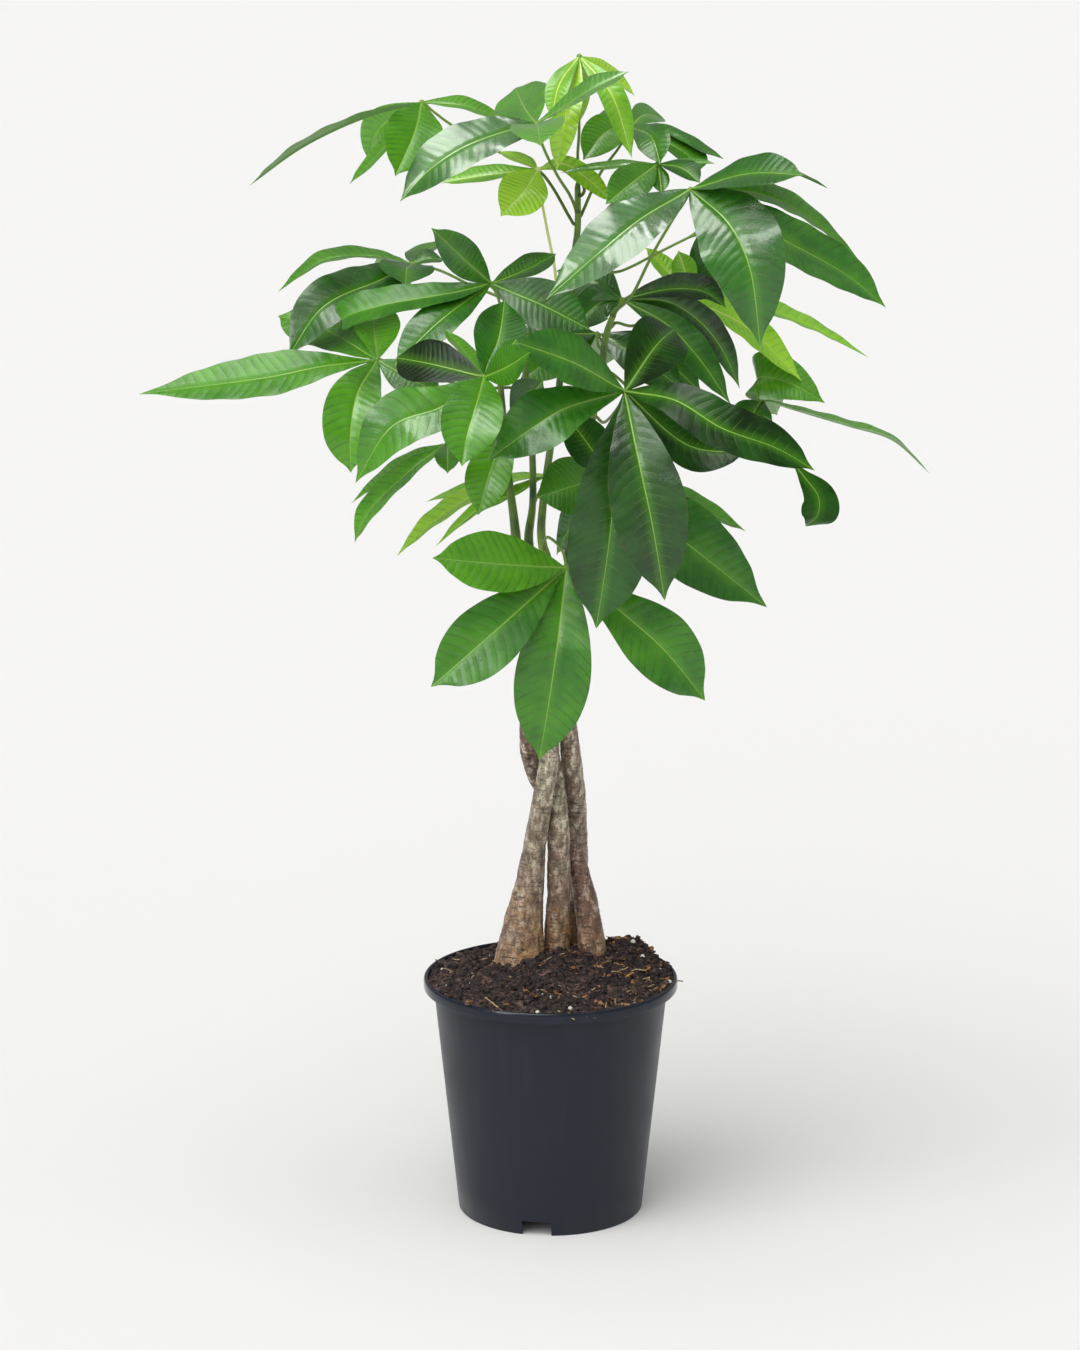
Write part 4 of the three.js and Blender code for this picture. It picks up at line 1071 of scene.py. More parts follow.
def leaf_bump(tree, spot, out, edge, vein, cloud, grain, lines, puffy):
    net = put(tree, CELLS, {"Vector": spot, "Scale": per_metre(NET)}, feature="DISTANCE_TO_EDGE")
    cells = put(tree, RANGE, (net, 0.0, 0.25, 0.0, 0.6))
    relief = put(tree, MATH, (grain, 0.5, cells), operation="MULTIPLY_ADD")
    carved = put(tree, MATH, (lines, -0.7, relief), operation="MULTIPLY_ADD")
    to_vein = put(tree, MATH, (vein, 0.5), operation="PINGPONG")
    rise = put(tree, MATH, (to_vein, 2.0), operation="MULTIPLY")
    puff = put(tree, MATH, (rise, 0.55), operation="POWER")
    inner = put(tree, RANGE, (out, PILLOW_FROM, PILLOW_FULL, 0.0, 1.0))
    outer = put(tree, RANGE, (edge, 0.75, 1.0, 1.0, 0.1))
    firm_here = put(tree, RANGE, (cloud, 0.35, 0.65, 0.3, 1.1))
    firm = put(tree, MATH, (outer, firm_here), operation="MULTIPLY")
    held = put(tree, MATH, (puff, inner), operation="MULTIPLY")
    quilt = put(tree, MATH, (held, firm), operation="MULTIPLY")
    pillow = put(tree, BUMP, {"Strength": 1.0, "Distance": puffy, "Height": quilt})
    return put(tree, BUMP, {"Strength": 0.5, "Distance": NET_DEPTH, "Height": carved, "Normal": pillow})


# %% Waxy leaf skin, from three greens, dark to light, that also carry painted shade and painted light, the colour of its midrib and its underside
LEAF_CLOUD, LEAF_FLECK, LEAF_GRAIN = 29.41, 8.333, 2.381
LIGHT_BESIDE_RIB = 7.0 * MM
DRY_RIM = "#5d4a2a"


def waxy_leaf(name, greens, rib_green, under, gloss, puffy):
    material, tree = surface_of(name)
    across, half, gap, vein, skin, tone, run, wax = (
        put(tree, READ, attribute_name=label).outputs["Fac"]
        for label in ("across", "half", "gap", "vein", "skin", "tone", "run", "wax"))
    spot = put(tree, PLACE).outputs["Object"]
    cloud, fleck, grain = (
        put(tree, NOISE, {"Vector": spot, "Scale": per_metre(size), "Detail": detail})
        for size, detail in ((LEAF_CLOUD, 3.0), (LEAF_FLECK, 3.0), (LEAF_GRAIN, 2.0)))
    edge = put(tree, MATH, (across,), operation="ABSOLUTE")
    out = put(tree, MATH, (edge, half), operation="MULTIPLY")
    drift = put(tree, RANGE, (cloud, 0.3, 0.7, -0.14, 0.14))
    # The tone holds painted light and painted shade besides the leaflet's own green; drift adds random
    # patches.
    shade = put(tree, MATH, (tone, drift), operation="ADD")
    to_day = put(tree, RANGE, (shade, 0.0, 0.5, 0.0, 1.0))
    to_lit = put(tree, RANGE, (shade, 0.5, 1.0, 0.0, 1.0))
    near_rib = put(tree, RANGE, (out, 0.0, LIGHT_BESIDE_RIB, 0.3, 0.0), interpolation_type="SMOOTHSTEP")
    furrow_shade, lines = vein_lines(tree, out, edge, vein, gap, run)
    patchy = put(tree, RANGE, (fleck, 0.35, 0.65, 0.18, 0.52))
    # Painted shade in the vein furrows, patchy, in the darkest green.
    painted_furrow_shade = put(tree, MATH, (furrow_shade, patchy), operation="MULTIPLY")
    rim = put(tree, RANGE, (edge, 0.965, 1.0, 0.0, 1.0))
    ragged = put(tree, RANGE, (fleck, 0.46, 0.62, 0.0, 0.75))
    dry = put(tree, MATH, (rim, ragged), operation="MULTIPLY")
    below = put(tree, MATH, (skin, 0.0), operation="LESS_THAN")
    pale = put(tree, MATH, (below, 0.7), operation="MULTIPLY")
    dusk, day, lit = greens
    colour = paint(dusk)
    for cover, tint in ((to_day, day), (to_lit, lit), (near_rib, lit), (painted_furrow_shade, dusk),
                        (lines, rib_green), (dry, DRY_RIM), (pale, under)):
        colour = put(tree, MIX, (cover, colour, paint(tint)), data_type="RGBA")
    rough = put(tree, RANGE, (cloud, 0.3, 0.7, gloss - 0.05, gloss + 0.07))
    dull = put(tree, MATH, (below, 0.24, rough), operation="MULTIPLY_ADD")
    lustre = put(tree, RANGE, (wax, 0.0, USUAL_WAX, 0.2, 0.5))
    bump = leaf_bump(tree, spot, out, edge, vein, cloud, grain, lines, puffy)
    finish_surface(tree, {"Base Color": colour, "Roughness": dull, "Normal": bump, "IOR": 1.45,
                          "Specular IOR Level": lustre, "Coat Weight": wax, "Coat Roughness": 0.17})
    return material


# %% Smooth green stalk, brownish where it leaves the trunk, yellow-green at its hub, and paler still on a pale leaf: partly its own pale green, partly painted light where it hangs in shade
STALK_FLECK = 3.846
STALK_GRAIN_DEPTH = 0.2 * MM


def green_stalk(name, low, high, paler_with_painted_light):
    material, tree = surface_of(name)
    tone = put(tree, READ, attribute_name="tone").outputs["Fac"]
    spot = put(tree, PLACE).outputs["Object"]
    fleck = put(tree, NOISE, {"Vector": spot, "Scale": per_metre(STALK_FLECK), "Detail": 2.0})
    mixed = put(tree, MATH, (fleck, 0.3, tone), operation="MULTIPLY_ADD")
    to_high = put(tree, RANGE, (mixed, 0.1, 1.0, 0.0, 1.0))
    # A pale leaf's stalk turns paler still: partly its own pale green, partly painted light where it hangs
    # in shade.
    to_paler_with_painted_light = put(tree, RANGE, (mixed, 1.2, 1.8, 0.0, 1.0))
    grown = put(tree, MIX, (to_high, paint(low), paint(high)), data_type="RGBA")
    colour = put(tree, MIX, (to_paler_with_painted_light, grown, paint(paler_with_painted_light)), data_type="RGBA")
    bump = put(tree, BUMP, {"Strength": 0.4, "Distance": STALK_GRAIN_DEPTH, "Height": fleck})
    finish_surface(tree, {"Base Color": colour, "Roughness": 0.42, "Normal": bump, "IOR": 1.45})
    return material


# %% [markdown]
# ## Bark
# The bark of a Pachira trunk is thin cork: grey-brown, ochre near the soil, with worn pale skin, moss,
# cracks and short dark marks across it. Higher up the pale worn skin is painted nearly white, so there
# it is partly a painted highlight. A picture of bark could be wrapped round the trunks, but it would
# repeat and show its seam where they cross. So it is painted in layers, one over the other, and each
# has a mask from a noise of its own size. Above the braid the cork gives way to green skin.

# %% Patterns of bark: width and height of a patch in millimetres, detail and roughness
BARK_PATTERNS = {
    "fissure": (3.03, 20.83, 5.0, 0.6),
    "blotch": (5.0, 10.526, 5.0, 0.6),
    "cross": (9.091, 1.6129, 3.0, 0.5),
    "patch": (29.41, 29.41, 4.0, 0.5),
    "lichen": (16.13, 16.13, 6.0, 0.7),
    "grit": (1.4286, 1.4286, 3.0, 0.5),
}
BARK_SPECK = 4.167


def bark_patterns(tree, spot):
    made = {}
    for name, (wide, tall, detail, rough) in BARK_PATTERNS.items():
        way = put(tree, VECTOR, (spot, per_metre(wide, wide, tall)), operation="MULTIPLY")
        made[name] = put(tree, NOISE, {"Vector": way, "Scale": 1.0, "Detail": detail, "Roughness": rough})
    return made


# %% Where the ochre of the bark fades and its grey begins, in metres up, and how far both drift
OCHRE_UP_TO = (0.265, 0.32)
GREY_FROM = (0.31, 0.42)
HEIGHT_DRIFT = 0.12


# %% The layers of bark: each covers what is under it with its colour, as far as its mask says
def bark_layers(tree, spot, seen, drift, aloft, red):
    specks = put(tree, CELLS, {"Vector": spot, "Scale": per_metre(BARK_SPECK)})
    ruddy = put(tree, RANGE, (seen["patch"], 0.3, 0.6, 0.5, 0.95))
    reddish = put(tree, MATH, (red, ruddy), operation="MULTIPLY")
    low = put(tree, RANGE, (drift, *OCHRE_UP_TO, 1.0, 0.0))
    warm = put(tree, RANGE, (seen["lichen"], 0.38, 0.56, 0.2, 0.95))
    tawny = put(tree, MATH, (low, warm), operation="MULTIPLY")
    less_on_red = put(tree, RANGE, (red, 0.2, 0.95, 1.0, 0.55))
    ochre = put(tree, MATH, (tawny, less_on_red), operation="MULTIPLY")
    stain = put(tree, RANGE, (seen["blotch"], 0.36, 0.52, 0.75, 0.0))
    moss = put(tree, RANGE, (seen["lichen"], 0.52, 0.66, 0.0, 0.6))
    peeled = put(tree, RANGE, (seen["lichen"], 0.34, 0.48, 0.6, 0.0))
    # Pale worn skin, more of it higher up and painted nearly white: partly real wear, partly a painted
    # highlight.
    high = put(tree, RANGE, (aloft, 0.0, 1.0, 0.4, 1.0))
    rubbed_and_highlight = put(tree, RANGE, (seen["blotch"], 0.52, 0.64, 0.0, 0.85))
    paler_patch = put(tree, MATH, (high, rubbed_and_highlight), operation="MULTIPLY")
    pitted = put(tree, RANGE, (seen["grit"], 0.36, 0.46, 0.6, 0.0))
    split = put(tree, RANGE, (seen["fissure"], 0.34, 0.45, 0.5, 0.0))
    crack = put(tree, MATH, (split, pitted), operation="MAXIMUM")
    patchy = put(tree, RANGE, (seen["patch"], 0.4, 0.6, 0.85, 0.3))
    across = put(tree, RANGE, (seen["cross"], 0.54, 0.62, 0.0, 1.0))
    mark = put(tree, MATH, (across, patchy), operation="MULTIPLY")
    fleck = put(tree, RANGE, (specks, 0.12, 0.3, 0.6, 0.0))
    here = put(tree, RANGE, (seen["grit"], 0.45, 0.6, 0.0, 1.0))
    dotted = put(tree, MATH, (fleck, here), operation="MULTIPLY")
    return [(aloft, "#b3a88c"), (reddish, "#6a3a28"), (ochre, "#c99558"), (stain, "#3f332d"),
            (moss, "#83805c"), (peeled, "#7d5548"), (paler_patch, "#efe5d0"), (crack, "#382d26"),
            (mark, "#2c231d"), (dotted, "#d2c5af")]


# %% Corky bark, mottled grey and brown with dark cross marks, and thin green skin above
BARK_DEPTH = 0.8 * MM


def corky_bark():
    material, tree = surface_of("corky_bark")
    woody, red = (put(tree, READ, attribute_name=label).outputs["Fac"] for label in ("woody", "tone"))
    spot = put(tree, PLACE).outputs["Object"]
    seen = bark_patterns(tree, spot)
    level = put(tree, "ShaderNodeSeparateXYZ", (spot,)).outputs["Z"]
    drift = put(tree, MATH, (seen["patch"], HEIGHT_DRIFT, level), operation="MULTIPLY_ADD")
    aloft = put(tree, RANGE, (drift, *GREY_FROM, 0.0, 1.0))
    bark = paint("#98806a")
    for cover, tint in bark_layers(tree, spot, seen, drift, aloft, red):
        bark = put(tree, MIX, (cover, bark, paint(tint)), data_type="RGBA")
    young = put(tree, RANGE, (seen["patch"], 0.35, 0.65, 0.0, 1.0))
    green = put(tree, MIX, (young, paint("#2f5219"), paint("#76992f")), data_type="RGBA")
    ragged = put(tree, MATH, (seen["blotch"], 0.7, woody), operation="MULTIPLY_ADD")
    cover = put(tree, RANGE, (ragged, 0.6, 1.1, 0.0, 1.0), interpolation_type="SMOOTHSTEP")
    colour = put(tree, MIX, (cover, green, bark), data_type="RGBA")
    rough = put(tree, RANGE, (seen["blotch"], 0.4, 0.6, 0.5, 0.34))
    height = put(tree, MATH, (seen["fissure"], 0.8, seen["grit"]), operation="MULTIPLY_ADD")
    bump = put(tree, BUMP, {"Strength": 0.8, "Distance": BARK_DEPTH, "Height": height})
    finish_surface(tree, {"Base Color": colour, "Roughness": rough, "Normal": bump,
                          "Specular IOR Level": 0.65})
    return material


# %% The finishes themselves
leaf_finishes = {
    "mature": waxy_leaf("mature_leaf", ("#14280f", "#296a10", "#5aa314"), "#8cb84e", "#6f9a55",
                        gloss=0.27, puffy=0.26 * MM),
    "young": waxy_leaf("fresh_leaf", ("#4a8c14", "#78bc20", "#a9df30"), "#cfe57a", "#a3c450",
                       gloss=0.29, puffy=0.5 * MM),
}
stalk_finish = green_stalk("green_stalk", "#3f4a1e", "#739a30", "#e2ec9c")
bark_finish = corky_bark()
print("finishes", [material.name for material in bpy.data.materials])

# %% [markdown]
# ## Growing the leaves
# Every compound leaf becomes one piece: the lines of its stalk and midribs go into one mesh, and the
# tree of nodes turns them into a plant part. Leaves of different age get different greens.

# %% How old each leaf is, and how light its green is from 0 to 1: partly its own green, partly painted shade where it sits in shadow and painted light where it sits in light
leaf_look = {
    "leaf_right_top": ("mature", 0.5), "leaf_right_front": ("mature", 0.3),
    "leaf_low_front": ("mature", 0.7), "leaf_left_wide": ("mature", 0.82),
    "leaf_left_mid": ("mature", 0.5), "leaf_centre_front": ("mature", 0.82),
    "leaf_young_light": ("young", 0.85), "leaf_top_gloss": ("mature", 0.72),
    "leaf_top_left": ("mature", 0.95), "leaf_top_bud": ("young", 0.9),
    "leaf_top_right": ("mature", 0.55), "leaf_top_small": ("mature", 0.7),
    "leaf_right_inner": ("mature", 0.08), "leaf_right_back": ("young", 0.68),
    "leaf_right_far": ("mature", 0.6), "leaf_left_low": ("mature", 0.9),
    "leaf_left_thin": ("young", 0.6), "leaf_centre_low": ("mature", 0.36),
    "leaf_under_front": ("mature", 0.48), "leaf_left_back": ("mature", 0.5),
    "leaf_centre_back": ("mature", 0.42), "leaf_right_hidden": ("mature", 0.4),
}


# %% Grow them
UNEVEN_TONE = 0.1


def grow_leaf(leaf, luck):
    hub = place(*leaf["hub"])
    age, tone = leaf_look[leaf["name"]]
    lines = []
    for leaflet in leaf["leaflets"]:
        # A leaflet's shade shifts its leaf's tone: partly its own green, partly painted light and painted
        # shade.
        tone_with_painted_light_and_shade = tone + leaflet.get("shade", 0.0) + luck.uniform(-UNEVEN_TONE, UNEVEN_TONE)
        lines.append(midrib(hub, leaflet, tone_with_painted_light_and_shade))
    lines.append(stalk_rows(leaf))
    mesh = lines_to_mesh(leaf["name"] + "_lines", lines)
    piece = grow(leaf["name"].replace("leaf", "green"), mesh, compound_leaf,
                 {"Blade": leaf_finishes[age], "Stalk": stalk_finish})
    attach(piece, "root")
    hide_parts(leaf["name"])
    return piece


leaf_luck = random.Random(7)
green_pieces = [grow_leaf(leaf, leaf_luck) for leaf in leaves]
print("leaves grown", len(green_pieces), "triangles", sum(triangles(piece) for piece in green_pieces))

# %% Grow the trunks, each with its own share of red in the bark, woody up to a height in metres
trunk_redness = {"trunk_1": 0.12, "trunk_2": 0.45, "trunk_3": 0.95, "trunk_4": 0.4}
WOODY_BELOW, GREEN_ABOVE = 0.38, 0.56
TRUNK_STEP = 1.4 * MM
TRUNK_END = ((1.0, 0.95), (3.0, 0.75), (5.0, 0.45), (6.5, 0.12))


def grow_trunk(name):
    points = trunk_points(name)

    def woody(t):
        return 1.0 - smooth(line_point(points, t).z, WOODY_BELOW, GREEN_ABOVE)

    count = round(line_length(points) / TRUNK_STEP)
    rows = stem_rows(points, lambda t: trunk_radius(name, t), count, woody=woody,
                     tone=lambda t: trunk_redness[name])
    mesh = lines_to_mesh(name + "_lines", [round_off(rows, TRUNK_END)])
    piece = grow("braided_" + name, mesh, braided_trunk, {"Bark": bark_finish})
    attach(piece, "root")
    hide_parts(name)
    return piece


trunk_pieces = [grow_trunk(name) for name in trunks]
print("trunks grown", [triangles(piece) for piece in trunk_pieces])

# %% [markdown]
# ## The pot
# A nursery pot is injection moulded in polypropylene, blue-black, with a satin skin that is a little
# rough to the touch. Its form is a turned profile, so it is made as a lathe would: one outline
# carried round the axis. Three drainage notches are then cut from its skirt.

# %% The outline of the pot, as radius and height in millimetres, and its lathe
POT_SIDES = 144
pot_outline = [
    (0, 0), (25.6, 0), (26.4, 0.5), (30.8, 11.5), (31.6, 12), (71.2, 12), (71.9, 11.4), (70.7, 0.4),
    (71.1, 0), (72.4, 0), (73, 0.6), (75.5, 24), (80, 66.5), (86, 123.5), (91.6, 176.8), (92.0, 180.3),
    (92.6, 181.5), (99.1, 181.5), (99.7, 181.8), (100, 182.5), (100, 187.6), (99.75, 188.9),
    (99.2, 189.7), (98.4, 190), (97.6, 190), (97.0, 189.7), (96.6, 189.0), (96.6, 183.6), (96.1, 183.1),
    (91.4, 183.1), (90.7, 182.4), (86.0, 138), (80.0, 81), (73.2, 15.2), (72.4, 13.6), (32, 13.6),
    (27, 1.6), (0, 1.6),
]


def round_the_axis(radius, height, sides):
    angles = [2 * math.pi * i / sides for i in range(sides)]
    return [(radius * MM * math.cos(angle), radius * MM * math.sin(angle), height * MM) for angle in angles]


def turn_outline(name, outline, sides):
    verts = []
    faces = []
    for radius, height in outline:
        if radius == 0:
            verts.append((0.0, 0.0, height * MM))
        else:
            verts += round_the_axis(radius, height, sides)
    low, high = 0, len(verts) - 1
    rings = [1 + sides * k for k in range(len(outline) - 2)]
    for i in range(sides):
        j = (i + 1) % sides
        faces.append((low, rings[0] + j, rings[0] + i))
        faces.append((high, rings[-1] + i, rings[-1] + j))
        faces += [(a + i, a + j, b + j, b + i) for a, b in zip(rings, rings[1:])]
    mesh = bpy.data.meshes.new(name)
    mesh.from_pydata(verts, [], faces)
    return mesh


print("the rim is", 2 * max(radius for radius, height in pot_outline), "mm across")

# %% Blocks cut the notches from the skirt; the first one is turned a little from the front
NOTCHES = 3
NOTCH_TURN = -0.15
NOTCH_WIDE, NOTCH_TALL, NOTCH_DEEP = 23 * MM, 11.5 * MM, 10 * MM
FOOT_RADIUS = 73 * MM


def notch_blocks():
    corners = [(x, y, z) for x in (-1, 1) for y in (-1, 1) for z in (-1, 1)]
    sides = [(0, 1, 3, 2), (4, 6, 7, 5), (0, 4, 5, 1), (2, 3, 7, 6), (0, 2, 6, 4), (1, 5, 7, 3)]
    verts = []
    faces = []
    for turn in range(NOTCHES):
        spin = Matrix.Rotation(turn / NOTCHES * 2 * math.pi + NOTCH_TURN, 3, "Z")
        start = len(verts)
        for x, y, z in corners:
            corner = Vector((x * NOTCH_WIDE / 2, y * NOTCH_DEEP - FOOT_RADIUS, z * NOTCH_TALL))
            verts.append(spin @ corner)
        faces += [tuple(start + k for k in side) for side in sides]
    mesh = bpy.data.meshes.new("notches")
    mesh.from_pydata(verts, [], faces)
    blocks = bpy.data.objects.new("notches", mesh)
    bpy.context.scene.collection.objects.link(blocks)
    return blocks


def cut_away(piece, blocks):
    cut = piece.modifiers.new("cut", "BOOLEAN")
    cut.operation = "DIFFERENCE"
    cut.solver = "EXACT"
    cut.object = blocks
    ready = bpy.context.evaluated_depsgraph_get()
    left = bpy.data.meshes.new_from_object(piece.evaluated_get(ready), depsgraph=ready)
    piece.modifiers.clear()
    bpy.data.objects.remove(blocks)
    piece.data = left


# %% [markdown]
# ## The plastic of the pot
# Polypropylene has one colour all through, so wear shows as a change of gloss and a few paler scuffs
# that run up and down. The mould leaves a fine orange-peel skin, which is only bump here, because it
# is 1 mm wide. The rim has been handled, and is a little more polished than the wall.

# %% Moulded polypropylene: nearly black, satin, with a fine orange-peel skin and faint scuffs
PEEL, POT_CLOUD, SCUFF = 1.111, 45.45, (16.667, 16.667, 111.11)
PEEL_DEPTH = 0.2 * MM
RIM_FROM, RIM_TO = 180.5 * MM, 182.0 * MM


def moulded_polypropylene():
    material, tree = surface_of("moulded_polypropylene")
    spot = put(tree, PLACE).outputs["Object"]
    peel = put(tree, NOISE, {"Vector": spot, "Scale": per_metre(PEEL), "Detail": 2.0})
    cloud = put(tree, NOISE, {"Vector": spot, "Scale": per_metre(POT_CLOUD), "Detail": 4.0})
    scuff_way = put(tree, VECTOR, (spot, per_metre(*SCUFF)), operation="MULTIPLY")
    scuff = put(tree, NOISE, {"Vector": scuff_way, "Scale": 1.0, "Detail": 5.0})
    paler_patch = put(tree, RANGE, (scuff, 0.55, 0.75, 0.0, 0.5))
    colour = put(tree, MIX, (paler_patch, paint("#1c212c"), paint("#282d39")), data_type="RGBA")
    rough = put(tree, RANGE, (cloud, 0.3, 0.7, 0.3, 0.42))
    level = put(tree, "ShaderNodeSeparateXYZ", (spot,)).outputs["Z"]
    at_rim = put(tree, RANGE, (level, RIM_FROM, RIM_TO, 0.0, 0.2))
    polished = put(tree, MATH, (rough, at_rim), operation="SUBTRACT", use_clamp=True)
    bump = put(tree, BUMP, {"Strength": 0.25, "Distance": PEEL_DEPTH, "Height": peel})
    finish_surface(tree, {"Base Color": colour, "Roughness": polished, "Normal": bump, "IOR": 1.49,
                          "Specular IOR Level": 0.28})
    return material


# %% Make the pot, smooth but for its edges
SHARP_FROM = math.radians(40)


def make_pot():
    pot = bpy.data.objects.new("nursery_pot", turn_outline("nursery_pot", pot_outline, POT_SIDES))
    bpy.context.scene.collection.objects.link(pot)
    cut_away(pot, notch_blocks())
    pot.data.materials.clear()
    pot.data.materials.append(moulded_polypropylene())
    pot.data.shade_smooth()
    pot.data.set_sharp_from_angle(angle=SHARP_FROM)
    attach(pot, "root")
    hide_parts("pot")
    return pot


pot_piece = make_pot()
print("pot", triangles(pot_piece), "triangles")

# %% [markdown]
# ## The soil
# Potting mix is dark peat with crumbs, chips of bark, pale root fibres and white grains of perlite. A
# flat disc with a picture of soil would look painted where it meets the trunks and the rim. So the bed
# is a fine disc whose height follows the heap round the trunks, with crumbs and clods as noise, and
# the chips, fibres and grains are small pieces that lie on it.

# %% The height of the soil in millimetres: a level, three heaps, crumbs and clods
SOIL_LEVEL = 187.0
MOST_AT_EDGE = 2.6
heaps = [
    {"across": 5, "back": 17, "rise": 19, "spread": 50},
    {"across": 64, "back": 44, "rise": 14, "spread": 27},
    {"across": -66, "back": -50, "rise": 4, "spread": 34},
]
LOW_FROM, CALM_FROM = 0.9, 0.95
CRUMBS_PER_MM, CRUMB_HEIGHT = 0.08, 3.0
CRUMB_FALL, CRUMB_FINER, CRUMB_LEVELS = 0.8, 2.1, 5
CLODS_PER_MM, CLOD_HEIGHT = 0.23, 3.0
CLOD_START = Vector((9, 4, 2))
CALM_AT_EDGE = 0.75


def soil_height(x, y, share):
    height = SOIL_LEVEL
    for heap in heaps:
        away = (x - heap["across"]) ** 2 + (y - heap["back"]) ** 2
        height += heap["rise"] * math.exp(-away / heap["spread"] ** 2)
    kept = min(height, SOIL_LEVEL + MOST_AT_EDGE)
    height = between(height, kept, smooth(share, LOW_FROM, 1.0))
    here = Vector((x, y, 0.0))
    crumbs = noise.fractal(here * CRUMBS_PER_MM, CRUMB_FALL, CRUMB_FINER, CRUMB_LEVELS,
                           noise_basis="PERLIN_ORIGINAL")
    clods = max(0.0, noise.noise(here * CLODS_PER_MM + CLOD_START))
    loose = crumbs * CRUMB_HEIGHT + clods * CLOD_HEIGHT
    return height + loose * (1.0 - CALM_AT_EDGE * smooth(share, CALM_FROM, 1.0))


print("soil in the middle", round(soil_height(0, 0, 0), 1), "mm up")

# %% The bed of soil, which goes down the inside of the pot to its floor
SOIL_SIDES = 300
SOIL_RINGS = 90
SOIL_RADIUS = 95.9
SOIL_UNDERSIDE = ((SOIL_RADIUS, 183.7), (90.2, 183.5), (71.9, 14.2), (30.6, 14.2), (25.6, 2.1))


def soil_bed_mesh():
    verts = [(0.0, 0.0, soil_height(0, 0, 0) * MM)]
    for ring in range(1, SOIL_RINGS + 1):
        share = ring / SOIL_RINGS
        for x, y, _ in round_the_axis(share * SOIL_RADIUS, 0.0, SOIL_SIDES):
            verts.append((x, y, soil_height(x / MM, y / MM, share) * MM))
    for radius, height in SOIL_UNDERSIDE:
        verts += round_the_axis(radius, height, SOIL_SIDES)
    verts.append((0.0, 0.0, SOIL_UNDERSIDE[-1][1] * MM))
    rows = [1 + SOIL_SIDES * k for k in range(SOIL_RINGS + len(SOIL_UNDERSIDE))]
    faces = []
    for i in range(SOIL_SIDES):
        j = (i + 1) % SOIL_SIDES
        faces.append((0, rows[0] + i, rows[0] + j))
        faces.append((len(verts) - 1, rows[-1] + j, rows[-1] + i))
        faces += [(a + i, b + i, b + j, a + j) for a, b in zip(rows, rows[1:])]
    mesh = bpy.data.meshes.new("potting_soil")
    mesh.from_pydata(verts, [], faces)
    return mesh


# %% [markdown]
# ## Soil finishes and litter
# Peat is dark and rough and takes nearly all the light. Chips of pine bark are red-brown, older ones
# are nearly black, dry root fibres are straw-coloured, and perlite is white and chalky. The pieces of
# litter could be placed by hand, but there are about two thousand of them, so a tree of nodes scatters
# them at random. It puts more of the pine bark and fibre to the right, tilts each piece, gives it a
# size, and roughens it, so that no two are alike.

# %% Finishes of the soil: damp peat, pine bark, dry fibre and perlite
def earthy(name, dark, light, grain_mm, rough, bump_mm):
    material, tree = surface_of(name)
    spot = put(tree, PLACE).outputs["Object"]
    blotch = put(tree, NOISE, {"Vector": spot, "Scale": per_metre(grain_mm), "Detail": 5.0})
    share = put(tree, RANGE, (blotch, 0.34, 0.68, 0.0, 1.0))
    colour = put(tree, MIX, (share, paint(dark), paint(light)), data_type="RGBA")
    bump = put(tree, BUMP, {"Strength": 0.9, "Distance": bump_mm * MM, "Height": blotch})
    finish_surface(tree, {"Base Color": colour, "Roughness": rough, "Normal": bump,
                          "Specular IOR Level": 0.3})
    return material


soil_finishes = {
    "Peat": earthy("damp_peat", "#0f0d0e", "#463a37", 3.0, 0.92, 1.2),
    "Pine bark": earthy("pine_bark", "#633a22", "#c3925f", 2.2, 0.8, 0.3),
    "Dark bark": earthy("composted_bark", "#1c1617", "#705850", 2.2, 0.85, 0.3),
    "Fibre": earthy("dry_root_fibre", "#8a7658", "#cbb791", 1.2, 0.8, 0.1),
    "Perlite": earthy("white_perlite", "#cfcac0", "#f7f5ef", 0.8, 0.7, 0.15),
}
print("soil finishes", list(soil_finishes))


# %% The shapes of litter: a chip of bark, a crumb of peat, a grain of perlite and a bent fibre
CHIP_SIZE = (8.5 * MM, 3.0 * MM, 1.1 * MM)
CRUMB_RADIUS, GRAIN_RADIUS, FIBRE_RADIUS = 2.0 * MM, 1.55 * MM, 0.36 * MM
FIBRE_BEND = {"Start": (-7 * MM, 0, 0), "Middle": (1 * MM, 4 * MM, 1 * MM), "End": (7 * MM, 1 * MM, 0)}


def litter_shapes(tree):
    chip = put(tree, "GeometryNodeMeshCube", {"Size": CHIP_SIZE, "Vertices X": 3})
    crumb = put(tree, "GeometryNodeMeshIcoSphere", {"Radius": CRUMB_RADIUS, "Subdivisions": 1})
    grain = put(tree, "GeometryNodeMeshIcoSphere", {"Radius": GRAIN_RADIUS, "Subdivisions": 2})
    hair = put(tree, "GeometryNodeCurveQuadraticBezier", {"Resolution": 8, **FIBRE_BEND})
    thread = put(tree, CIRCLE, {"Resolution": 5, "Radius": FIBRE_RADIUS}, mode="RADIUS")
    fibre = put(tree, TUBE, {"Curve": hair, "Profile Curve": thread, "Fill Caps": True})
    return {"chip": chip, "crumb": crumb, "grain": grain, "fibre": fibre}


# %% What is scattered: its finish, shape, number to a square metre, where, and sizes from and to
litter_kinds = [
    ("Dark bark", "chip", 21000.0, "everywhere", 0.35, 1.4),
    ("Pine bark", "chip", 8500.0, "to the right", 0.3, 1.3),
    ("Peat", "crumb", 36000.0, "everywhere", 0.35, 1.8),
    ("Fibre", "fibre", 4600.0, "to the right", 0.5, 1.5),
    ("Perlite", "grain", 1500.0, "everywhere", 0.5, 1.35),
]
TILT = 0.5
ALL_ROUND = 6.28
SIZE_SEED = 40.0
WOBBLE = 1.923
TOP_SLOPE = 0.35


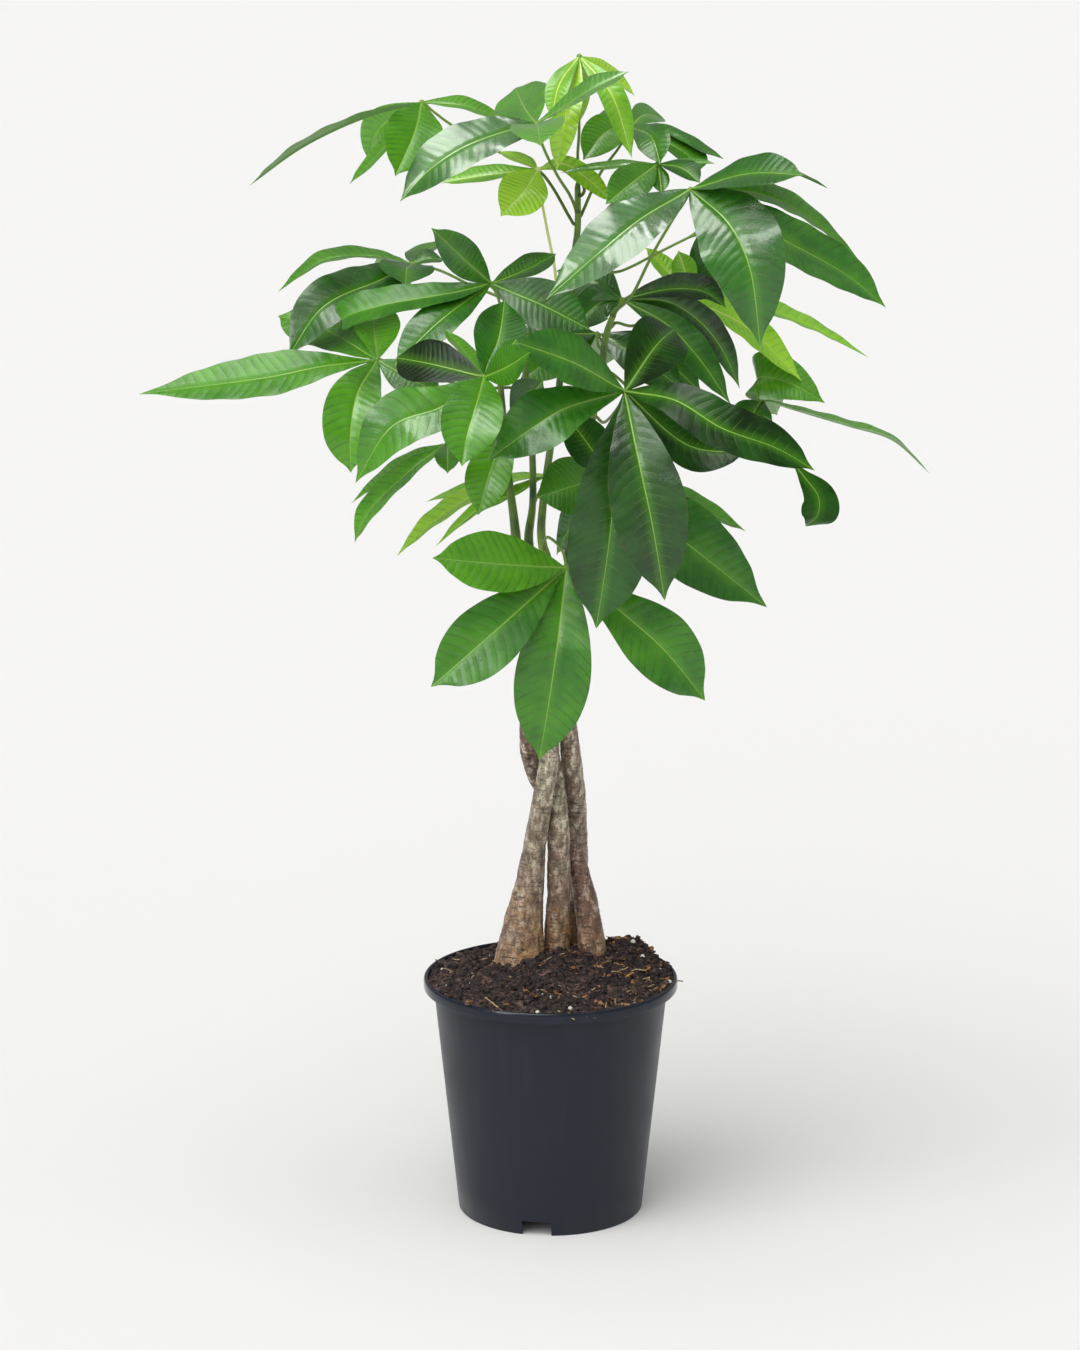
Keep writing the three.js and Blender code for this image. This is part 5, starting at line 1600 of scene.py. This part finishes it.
def scatter(tree, soil, on_top, shape, density, sizes, seed):
    points = put(tree, "GeometryNodeDistributePointsOnFaces",
                 {"Mesh": soil, "Selection": on_top, "Density": density, "Seed": seed})
    turn = put(tree, RANDOM, {"Min": (-TILT, -TILT, 0.0), "Max": (TILT, TILT, ALL_ROUND), "Seed": seed},
               data_type="FLOAT_VECTOR")
    size_seed = put(tree, MATH, (seed, SIZE_SEED), operation="ADD")
    size = put(tree, RANDOM, (*sizes, None, size_seed), data_type="FLOAT")
    placed = put(tree, "GeometryNodeInstanceOnPoints",
                 {"Points": points, "Instance": shape, "Rotation": turn, "Scale": size})
    return put(tree, REAL, (placed,))


# %% The tree that scatters litter over the soil, and roughens each piece
FEWEST_AT, MOST_AT = -50.0 * MM, 70.0 * MM
SHARE_AT_LEFT = 0.12


def litter_tree():
    tree = bpy.data.node_groups.new("soil_litter", "GeometryNodeTree")
    inlet(tree, "Soil", "NodeSocketGeometry")
    inlet(tree, "Seed", "NodeSocketInt", 11)
    inlet(tree, "Roughen", "NodeSocketFloat", 1.6 * MM)
    for name in soil_finishes:
        inlet(tree, name, "NodeSocketMaterial")
    tree.interface.new_socket("Litter", in_out="OUTPUT", socket_type="NodeSocketGeometry")
    feed = tree.nodes.new("NodeGroupInput").outputs
    slope = put(tree, "ShaderNodeSeparateXYZ", (put(tree, "GeometryNodeInputNormal"),)).outputs["Z"]
    on_top = put(tree, COMPARE, (slope, TOP_SLOPE), data_type="FLOAT", operation="GREATER_THAN")
    spot = put(tree, "GeometryNodeInputPosition")
    rightward = put(tree, "ShaderNodeSeparateXYZ", (spot,)).outputs["X"]
    to_right = put(tree, RANGE, (rightward, FEWEST_AT, MOST_AT, SHARE_AT_LEFT, 1.0))
    wobble = put(tree, NOISE, {"Vector": spot, "Scale": per_metre(WOBBLE), "Detail": 1.0})
    centred = put(tree, VECTOR, (wobble.outputs["Color"], (0.5, 0.5, 0.5)), operation="SUBTRACT")
    shift = put(tree, VECTOR, (centred, feed["Roughen"]), operation="SCALE")
    shapes = litter_shapes(tree)
    every = put(tree, JOIN)
    for number, (name, shape, density, where, least, most) in enumerate(litter_kinds, 1):
        seed = put(tree, MATH, (feed["Seed"], float(number)), operation="ADD")
        share = to_right if where == "to the right" else 1.0
        thick = put(tree, MATH, (density, share), operation="MULTIPLY")
        real = scatter(tree, feed["Soil"], on_top, shapes[shape], thick, (least, most), seed)
        broken = put(tree, MOVE, (real, None, None, shift))
        done = put(tree, DRESS, (broken, None, feed[name]))
        tree.links.new(done.outputs[0], every.inputs[0])
    put(tree, "NodeGroupOutput", (every,))
    return tree


# %% Make the soil and its litter
def make_soil():
    soil = bpy.data.objects.new("potting_soil", soil_bed_mesh())
    bpy.context.scene.collection.objects.link(soil)
    soil.data.materials.append(soil_finishes["Peat"])
    soil.data.shade_smooth()
    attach(soil, "root")
    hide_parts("soil")
    litter = grow("soil_litter", soil.data.copy(), litter_tree(), soil_finishes)
    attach(litter, "root")
    return soil, litter


soil_piece, litter_piece = make_soil()
print("soil", triangles(soil_piece), "litter", triangles(litter_piece))
